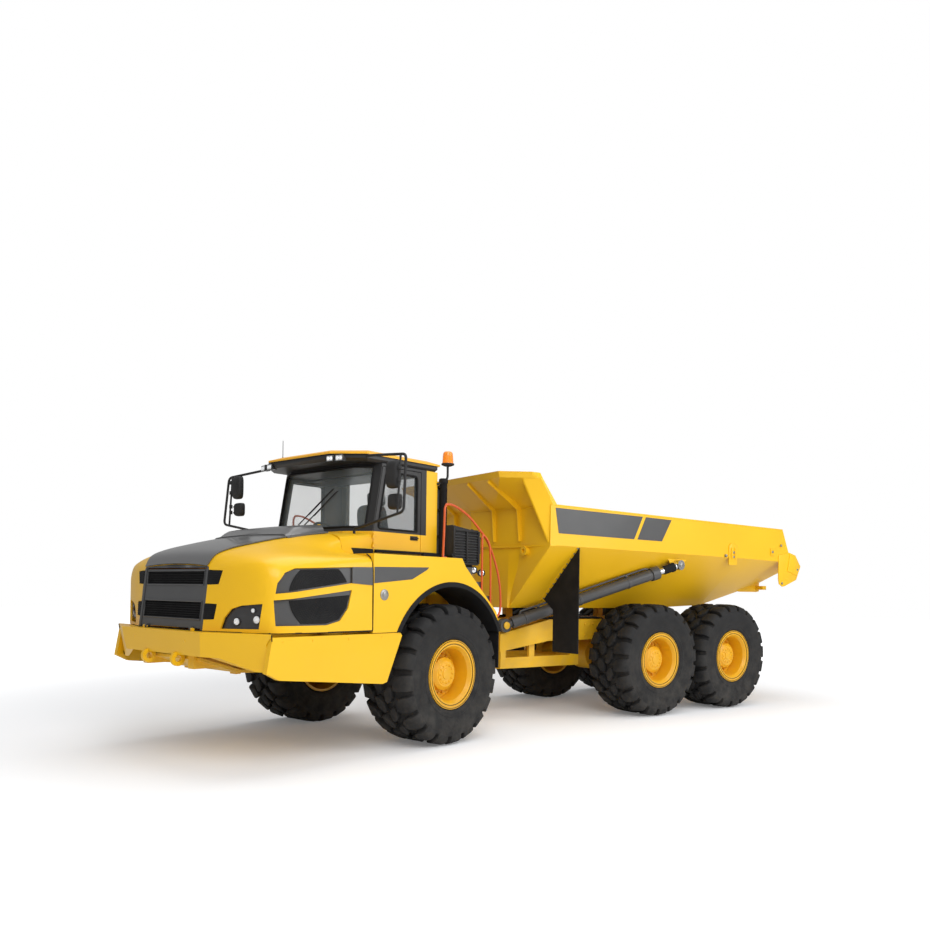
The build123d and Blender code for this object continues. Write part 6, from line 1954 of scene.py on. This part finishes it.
@dataclass
class LoadBody:
    """Dark panels, brackets, plates, stiffeners and bolts on the dump body."""

    shop: Workshop
    wall_y: float = 1.465
    panels: tuple[tuple[Flat, ...], ...] = (
        ((-0.91, 2.835), (-2.545, 2.822), (-2.375, 2.5), (-0.97, 2.51)),
        ((-2.61, 2.82), (-3.15, 2.812), (-2.95, 2.497), (-2.44, 2.5)))
    tail: tuple[Flat, ...] = (
        (-5.78, 2.4), (-5.78, 2.02), (-5.805, 1.93), (-5.894, 1.89), (-5.96, 1.9), (-6.282, 2.009),
        (-6.4, 2.235), (-6.25, 2.415), (-6.075, 2.455))
    # the folded cheek beside the canopy: its front line and where it meets the side
    cheek_line: tuple[Point, ...] = (
        (-0.49, 1.308, 3.2), (-0.573, 1.341, 3.0), (-0.633, 1.364, 2.86), (-0.842, 1.442, 2.36))
    cheek_edge: tuple[Point, ...] = (
        (-0.668, 1.446, 3.198), (-0.79, 1.462, 3.0), (-0.868, 1.467, 2.86), (-0.874, 1.467, 2.35))

    def dark(self, pen: Pen) -> None:
        """Draw the bare dark panels."""
        for outline in self.panels:
            pen.plates(outline, self.wall_y + 0.0005, self.wall_y + 0.003)

    def plates(self, pen: Pen) -> None:
        """Draw the tail plates, side brackets, hoist gussets, lower tail brackets and the bar under the side's edge."""
        wall = self.wall_y
        for near, far, outline in (
                (wall - 0.002, wall + 0.012, self.tail),
                (wall + 0.01, wall + 0.022, ((-6.085, 2.44), (-6.24, 2.4), (-6.375, 2.232), (-6.29, 2.08),
                                             (-6.02, 2.15))),
                (wall, wall + 0.014, ((-5.64, 2.5), (-5.64, 2.395), (-5.56, 2.395), (-5.56, 2.5))),
                (wall - 0.004, wall + 0.014, ((-4.483, 2.5), (-4.48, 2.215), (-4.51, 2.205), (-4.65, 2.205),
                                              (-4.68, 2.215), (-4.682, 2.5), (-4.64, 2.541), (-4.53, 2.541))),
                (wall + 0.01, wall + 0.03, ((-4.52, 2.47), (-4.52, 2.3), (-4.56, 2.3), (-4.56, 2.47))),
                (wall + 0.01, wall + 0.03, ((-4.61, 2.47), (-4.61, 2.3), (-4.65, 2.3), (-4.65, 2.47))),
                (1.372, 1.388, ((-3.08, 2.345), (-3.66, 2.34), (-3.56, 2.23), (-3.43, 2.11), (-3.36, 2.085),
                                (-3.29, 2.11), (-3.2, 2.23))),
                (0.742, 0.758, ((-5.69, 1.96), (-5.7, 1.806), (-5.76, 1.8), (-6.23, 1.8), (-6.3, 1.812),
                                (-6.303, 1.96))),
                (wall - 0.012, wall + 0.004, ((-0.85, 2.862), (-3.56, 2.834), (-4.8, 2.822), (-5.89, 2.811),
                                              (-5.89, 2.829), (-4.8, 2.84), (-3.56, 2.852), (-0.85, 2.88)))):
            pen.plates(outline, near, far)
        pen.boxes((-6.3, 0.56, 1.84), (-6.2, 0.9, 1.905))

    def ribs(self, pen: Pen) -> None:
        """Draw the stiffeners of the front wall and of its outer corners."""
        for side in SIDES:
            pen.solid([(x, side * y, z), (x + 0.008, side * (y - 0.018), z), (x - 0.012, side * (y - 0.02), z),
                       (x - 0.026, side * (y - 0.002), z), (u, side * (v - 0.01), w), (u, side * v, w)]
                      for (x, y, z), (u, v, w) in zip(self.cheek_line, self.cheek_edge))
            for z in (2.862, 2.35):
                pen.solid([(x + u, side * y, z + v) for u, v in (
                    (0.004, -0.013), (0.014, -0.006), (0.014, 0.006), (0.004, 0.013))]
                          for x, y in ((-0.64, 0.0), (-0.722, 0.45), (-0.795, 0.9), (-0.85, 1.445)))

    def bolts(self, pen: Pen) -> None:
        """Draw the bolts of the brackets, the plates and the mud shields."""
        for side in SIDES:
            for x, z in ((-4.585, 2.4), (-4.585, 2.33), (-5.6, 2.448), (-5.87, 1.945), (-5.835, 2.56), (-6.3, 2.18)):
                pen.disc((x, side * (self.wall_y + 0.012), z), LEFT * side, 0.02, 0.014, 0.004, 12)
            pen.disc((-4.4, side * self.wall_y, 2.345), LEFT * side, 0.022, 0.03, 0.004, 16)
            pen.disc((-3.36, side * 1.478, 2.17), LEFT * side, 0.04, 0.022, 0.006, 28)
            slope = Vector((0, side * 0.7071, -0.7071))
            for k in range(11):
                y = 0.78 + k * 0.0665
                place = Vector((-1.322, side * y, 1.67 + (y - 0.78) * 0.9988)) + slope * 0.004
                pen.disc(place, slope, 0.013, 0.012, 0.003, 6)

    @staticmethod
    def strips(pen: Pen) -> None:
        """Draw the fixing strips over the mud shields."""
        for side in SIDES:
            slope = Vector((0, side * 0.7071, -0.7071))
            pen.solid([Vector((x, side * y, z)) + slope * d for x, d in (
                (-1.343, 0.0), (-1.3, 0.0), (-1.3, 0.006), (-1.343, 0.006))]
                      for y, z in ((0.745, 1.635), (1.44, 2.329)))

    def build(self) -> None:
        """Make all the body's pieces."""
        shop, rear = self.shop, self.shop.rear
        shop.make("body_dark_panels", self.dark, rear, "Charcoal paint", Slot.PANEL, Body.LOAD)
        shop.make("body_plates", self.plates, rear, "Yellow body paint", Slot.YELLOW, Body.LOAD, bevel=0.003)
        shop.make("body_stiffeners", self.ribs, rear, "Yellow body paint", Slot.YELLOW, Body.LOAD)
        shop.make("shield_strips", self.strips, rear, "Yellow body paint", Slot.YELLOW, Body.LOAD)
        shop.make("body_bolts", self.bolts, rear, "Bolt steel", Slot.STEEL, Body.LOAD)


@dataclass
class Hoists:
    """Collars, pressure pipes and sleeves on the two hoist cylinders."""

    shop: Workshop
    low: Point = (-0.77, 0.62, 1.29)
    high: Point = (-3.36, 1.44, 2.17)

    def build(self) -> None:
        """Make both cylinders' fittings."""
        shop = self.shop
        for name, side in (("left", 1), ("right", -1)):
            start, end = (Vector((x, side * y, z)) for x, y, z in (self.low, self.high))
            run = (end - start).normalized()
            up = (UP - run * run.z).normalized()

            def collars(pen: Pen) -> None:
                """The barrel's bands, end nut and pipe with its clamps."""
                for place, width, radius in ((0.3, 0.05, 0.088), (1.15, 0.04, 0.086), (1.95, 0.04, 0.086),
                                             (2.36, 0.125, 0.097)):
                    profile = ((0.0, 0.078), (0.0, radius - 0.004), (0.004, radius), (width - 0.004, radius),
                               (width, radius - 0.004), (width, 0.078))
                    pen.lathe(profile, start + run * place, run, 40)
                pen.pipe([start + run * a + up * b for a, b in (
                    (0.26, 0.075), (0.28, 0.112), (2.28, 0.112), (2.34, 0.092))], 0.015, 12, 0.04)
                for place in (0.55, 1.17, 1.97):
                    pen.lathe(((-0.016, TIP), (-0.016, 0.024), (0.016, 0.024), (0.016, TIP)),
                              start + run * place + up * 0.1, run, 16, closed=False)

            def sleeve(pen: Pen) -> None:
                """The dark sleeve on the rod behind its eye."""
                pen.lathe(((2.58, 0.0485), (2.58, 0.058), (2.59, 0.062), (2.7, 0.062), (2.715, 0.068), (2.76, 0.068),
                           (2.775, 0.052), (2.775, 0.0485)), start, run, 36)

            shop.make(f"hoist_collars_{name}", collars, shop.rear, "Charcoal paint", Slot.GREY,
                      f"hoist_barrel_{name}_body")
            shop.make(f"hoist_sleeve_{name}", sleeve, shop.rear, "Black rubber", Slot.RUBBER, f"hoist_rod_{name}_body")


@dataclass
class RearFrame:
    """Bolts, brackets, hoses and lamps on the rear unit's frame."""

    shop: Workshop

    @staticmethod
    def bolts(pen: Pen) -> None:
        """Draw the bolt groups on the frame's sides."""
        for side in SIDES:
            out = LEFT * side
            for x in (-1.75, -1.9, -2.3, -2.45, -4.95, -5.25):
                for z in (1.13, 1.29):
                    pen.disc((x, side * 0.6005, z), out, 0.018, 0.012, 0.003, 6)
            pen.disc((-0.77, side * 0.672, 1.29), out, 0.05, 0.014, 0.005, 32)
            pen.disc((-5.1, side * 0.606, 1.5), out, 0.06, 0.02, 0.006, 32)

    @staticmethod
    def hoses(pen: Pen) -> None:
        """Draw the hydraulic hoses along the frame behind the hinge."""
        for k, (y, z) in enumerate(((0.52, 1.375), (0.565, 1.38), (-0.52, 1.375), (-0.565, 1.38))):
            route = [(-0.62, y * 0.9, 1.16 + 0.02 * k), (-0.8, y, 1.27), (-1.15, y, z - 0.03), (-1.62, y, z),
                     (-2.6, y, z),
                     (-2.72, y * 0.9, 1.3)]
            pen.pipe(curve(route, 5), 0.014, 10)
        for x in (-1.7, -2.15, -2.55):
            pen.boxes((x - 0.014, 0.5, 1.361), (x + 0.014, 0.586, 1.399))

    @staticmethod
    def lamp_boxes(pen: Pen) -> None:
        """Draw the rear lamps' housings at the frame's end."""
        pen.boxes((-5.386, 0.485, 0.975), (-5.352, 0.595, 1.215))

    @staticmethod
    def lamps(pen: Pen) -> None:
        """Draw the rear lamps' lenses."""
        for side in SIDES:
            for z in (1.037, 1.153):
                pen.disc((-5.385, side * 0.54, z), -FORWARD, 0.044, 0.012, 0.008, 32)

    def build(self) -> None:
        """Make all the frame's pieces."""
        shop, rear = self.shop, self.shop.rear
        shop.make("frame_bolts", self.bolts, rear, "Yellow frame paint", Slot.YELLOW, Body.REAR)
        shop.make("frame_hoses", self.hoses, rear, "Black rubber", Slot.RUBBER, Body.REAR)
        shop.make("rear_lamp_boxes", self.lamp_boxes, rear, "Black moulded plastic", Slot.PLASTIC, Body.REAR,
                  bevel=0.006)
        shop.make("rear_lamp_lenses", self.lamps, rear, "Amber lens", Slot.AMBER, Body.REAR)


@dataclass
class Seat:
    """The driver's seat: padded base, back and headrest on a sprung foot."""

    shop: Workshop
    node: str = "seat"

    @staticmethod
    def pad(pen: Pen, centre: Point, size: Point, lean: float, crown: float) -> None:
        """A crowned pad whose sides pull in between its corners.

        Args:
            pen: Draws in the mesh.
            centre: Its middle.
            size: Half its length, width and height.
            lean: How far it leans back, in radians.
            crown: How far its seams dip.
        """
        turn = Matrix.Rotation(-lean, 3, "Y")
        rings = []
        for polar in (math.pi * i / 24 for i in range(1, 24)):
            flat = math.sin(polar) ** 0.35
            w = math.copysign(abs(math.cos(polar)) ** 0.55, math.cos(polar))
            ring = []
            for angle in (2 * math.pi * k / 48 for k in range(48)):
                u, v = (flat * math.copysign(abs(c) ** 0.42, c) for c in (math.cos(angle), math.sin(angle)))
                seam = crown * math.exp(-((abs(v) - 0.55) / 0.035) ** 2) * max(w, 0)
                ring.append(Vector(centre) + turn @ Vector((u * size[0], v * size[1], w * size[2] - seam)))
            rings.append(ring)
        pen.solid(rings)

    def build(self) -> None:
        """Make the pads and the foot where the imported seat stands."""
        shop = self.shop
        low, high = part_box(self.node)
        inverse = shop.front.matrix.inverted()
        middle = inverse @ ((Vector(low) + Vector(high)) / 2)
        x, y, bottom, top = middle.x, middle.y, low[2], high[2]

        def pads(pen: Pen) -> None:
            """The base, the back and the headrest."""
            self.pad(pen, (x + 0.02, y, bottom + 0.44), (0.25, 0.25, 0.075), 0.06, 0.012)
            self.pad(pen, (x - 0.2, y, bottom + 0.76), (0.3, 0.24, 0.065), 1.42, 0.01)
            self.pad(pen, (x - 0.25, y, top - 0.1), (0.095, 0.14, 0.045), 1.45, 0.0)

        def foot(pen: Pen) -> None:
            """The sprung foot and the armrest."""
            pen.box((x - 0.2, y - 0.17, bottom), (x + 0.2, y + 0.17, bottom + 0.05))
            for i in range(6):
                z = bottom + 0.05 + i * 0.048
                pen.box((x - 0.16, y - 0.14, z), (x + 0.16, y + 0.14, z + 0.03))
                pen.box((x - 0.145, y - 0.125, z + 0.03), (x + 0.145, y + 0.125, z + 0.048))
            pen.pipe([(x - 0.22, y - 0.27, bottom + 0.66), (x + 0.08, y - 0.27, bottom + 0.68)], 0.028, 12)

        seat = shop.make("seat_pads", pads, shop.front, "Cushion cloth", Slot.CLOTH, Body.FRONT, angle=60)
        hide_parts(self.node)
        shop.make("seat_foot", foot, shop.front, "Black rubber", Slot.RUBBER, Body.FRONT, bevel=0.006)


@dataclass
class Studio:
    """Pale floor, soft light and the camera at the photograph's angle."""

    hinge: Vector
    camera_from_hinge: Point = (6.155, 9.311, 1.76)
    heading: Flat = (-0.58453, -0.81137)
    roll: float = 0.0143
    lens: float = 31.68
    shift_y: float = 0.1346

    def build(self) -> None:
        """Add the floor, the lights and the camera."""
        self._camera()
        self._floor()
        self._lights()

    def _camera(self) -> None:
        """The camera, level, turned and rolled as the photograph's."""
        data = bpy.data.cameras.new("Camera")
        data.lens = self.lens
        data.sensor_width = 36.0
        data.shift_y = self.shift_y
        data.clip_end = 200.0
        camera = bpy.data.objects.new("Camera", data)
        bpy.context.scene.collection.objects.link(camera)
        ahead = Vector((*self.heading, 0)).normalized()
        look = ahead.to_track_quat("-Z", "Y").to_matrix().to_4x4()
        place = Matrix.Translation(self.hinge + Vector(self.camera_from_hinge))
        camera.matrix_world = place @ look @ Matrix.Rotation(self.roll, 4, "Z")
        bpy.context.scene.camera = camera

    def _floor(self) -> None:
        """A plain white floor that keeps the truck's shadow."""
        data = bpy.data.meshes.new("Floor")
        bm = bmesh.new()
        bmesh.ops.create_circle(bm, cap_ends=True, radius=60.0, segments=64)
        bm.to_mesh(data)
        bm.free()
        floor = bpy.data.objects.new("Floor", data)
        bpy.context.scene.collection.objects.link(floor)
        material, shader, n = blank_material("White floor")
        shader.inputs["Roughness"].default_value = 0.7
        shader.inputs["Specular IOR Level"].default_value = 0.0
        seen = n.add("ShaderNodeLightPath").outputs["Is Camera Ray"]
        n.put(shader.inputs["Base Color"], n.mix(seen, (0.9, 0.9, 0.9, 1), (0.91, 0.92, 0.94, 1)))
        reach = n.add("ShaderNodeVectorMath", n.place(), operation="LENGTH").outputs["Value"]
        glow = n.add("ShaderNodeMapRange", reach, interpolation_type="SMOOTHSTEP", From_Min=5.0, From_Max=14.0,
                     To_Min=0.12, To_Max=0.8).outputs["Result"]
        shader.inputs["Emission Color"].default_value = (1, 1, 1, 1)
        n.put(shader.inputs["Emission Strength"], n.math("MULTIPLY", glow, seen))
        data.materials.append(material)

    def _lights(self) -> None:
        """A white world and large soft lamps."""
        world = bpy.data.worlds.new("Studio")
        bpy.context.scene.world = world
        world.use_nodes = True
        n = Nodes(world.node_tree)
        sky = world.node_tree.nodes["Background"]
        sky.inputs["Color"].default_value = (1, 1, 1, 1)
        level = n.add("ShaderNodeMapRange", n.add("ShaderNodeLightPath").outputs["Is Camera Ray"], To_Min=0.42,
                      To_Max=1.0)
        n.put(sky.inputs["Strength"], level.outputs["Result"])
        lamps = (
            # name, place from the hinge, aim from the hinge, size, power
            ("Key", (4.8, 10.4, 8.2), (0.2, 0.0, 1.2), 8.0, 690.0),
            ("Side", (-7.0, 10.0, 5.5), (-3.0, 0.0, 1.4), 8.0, 530.0),
            ("Top", (-1.0, 0.0, 13.0), (-1.0, 0.0, 0.0), 12.0, 700.0),
        )
        for name, place, aim, size, power in lamps:
            light = bpy.data.lights.new(name, "AREA")
            light.shape = "DISK"
            light.size = size
            light.energy = power
            lamp = bpy.data.objects.new(name, light)
            bpy.context.scene.collection.objects.link(lamp)
            lamp.location = self.hinge + Vector(place)
            lamp.rotation_euler = (Vector(aim) - Vector(place)).to_track_quat("-Z", "Y").to_euler()


def units(joints: Sequence[dict]) -> tuple[Unit, Unit, Vector]:
    """Find both units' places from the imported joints.

    Args:
        joints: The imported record's joints.

    Returns:
        The front unit, the rear unit and the hinge's place on the ground.
    """
    found = {joint["name"]: joint for joint in joints}
    x, y, _ = found["steer"]["pos_m"]
    hinge = Vector((x, y, 0))
    side = Vector(found["spin_front_left"]["axis"])
    turn = math.atan2(-side.x, side.y)
    base = Matrix.Translation(hinge)
    return Unit(base @ Matrix.Rotation(turn, 4, "Z")), Unit(base), hinge


def wheels_of(joints: Sequence[dict]) -> list[Wheel]:
    """The six wheels, from their joints' places and axes.

    Args:
        joints: The frame's joints.

    Returns:
        The wheels.
    """
    found = []
    for joint in joints:
        if joint["name"].startswith("spin_"):
            name = joint["name"].removeprefix("spin_")
            side = 1 if name.endswith("left") else -1
            found.append(Wheel(name, Vector(joint["pos_m"]), Vector(joint["axis"]) * side))
    return found


def main() -> None:
    """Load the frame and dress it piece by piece."""
    logging.basicConfig(level=logging.INFO, format="%(name)s %(message)s")
    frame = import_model()
    bpy.context.scene.view_settings.view_transform = "Standard"
    front, rear, hinge = units(frame["joints"])
    shop = Workshop(Palette(front), front, rear)
    CarriedNodes(shop, frame["nodes"]).build()
    wheels = wheels_of(frame["joints"])
    Tyres(shop).build(wheels)
    WheelFittings(shop).build(wheels)
    for part in (HoodSkin, HoodTop, Grille, Headlights, SideScreens, FrontTrim, CabFittings, Mirrors, Rails,
                 RearOfCab, LoadBody, Hoists, RearFrame, Seat):
        part(shop).build()
    Studio(hinge).build()
    log.info("pieces made: %d", shop.made)


if __name__ == "__main__":
    main()
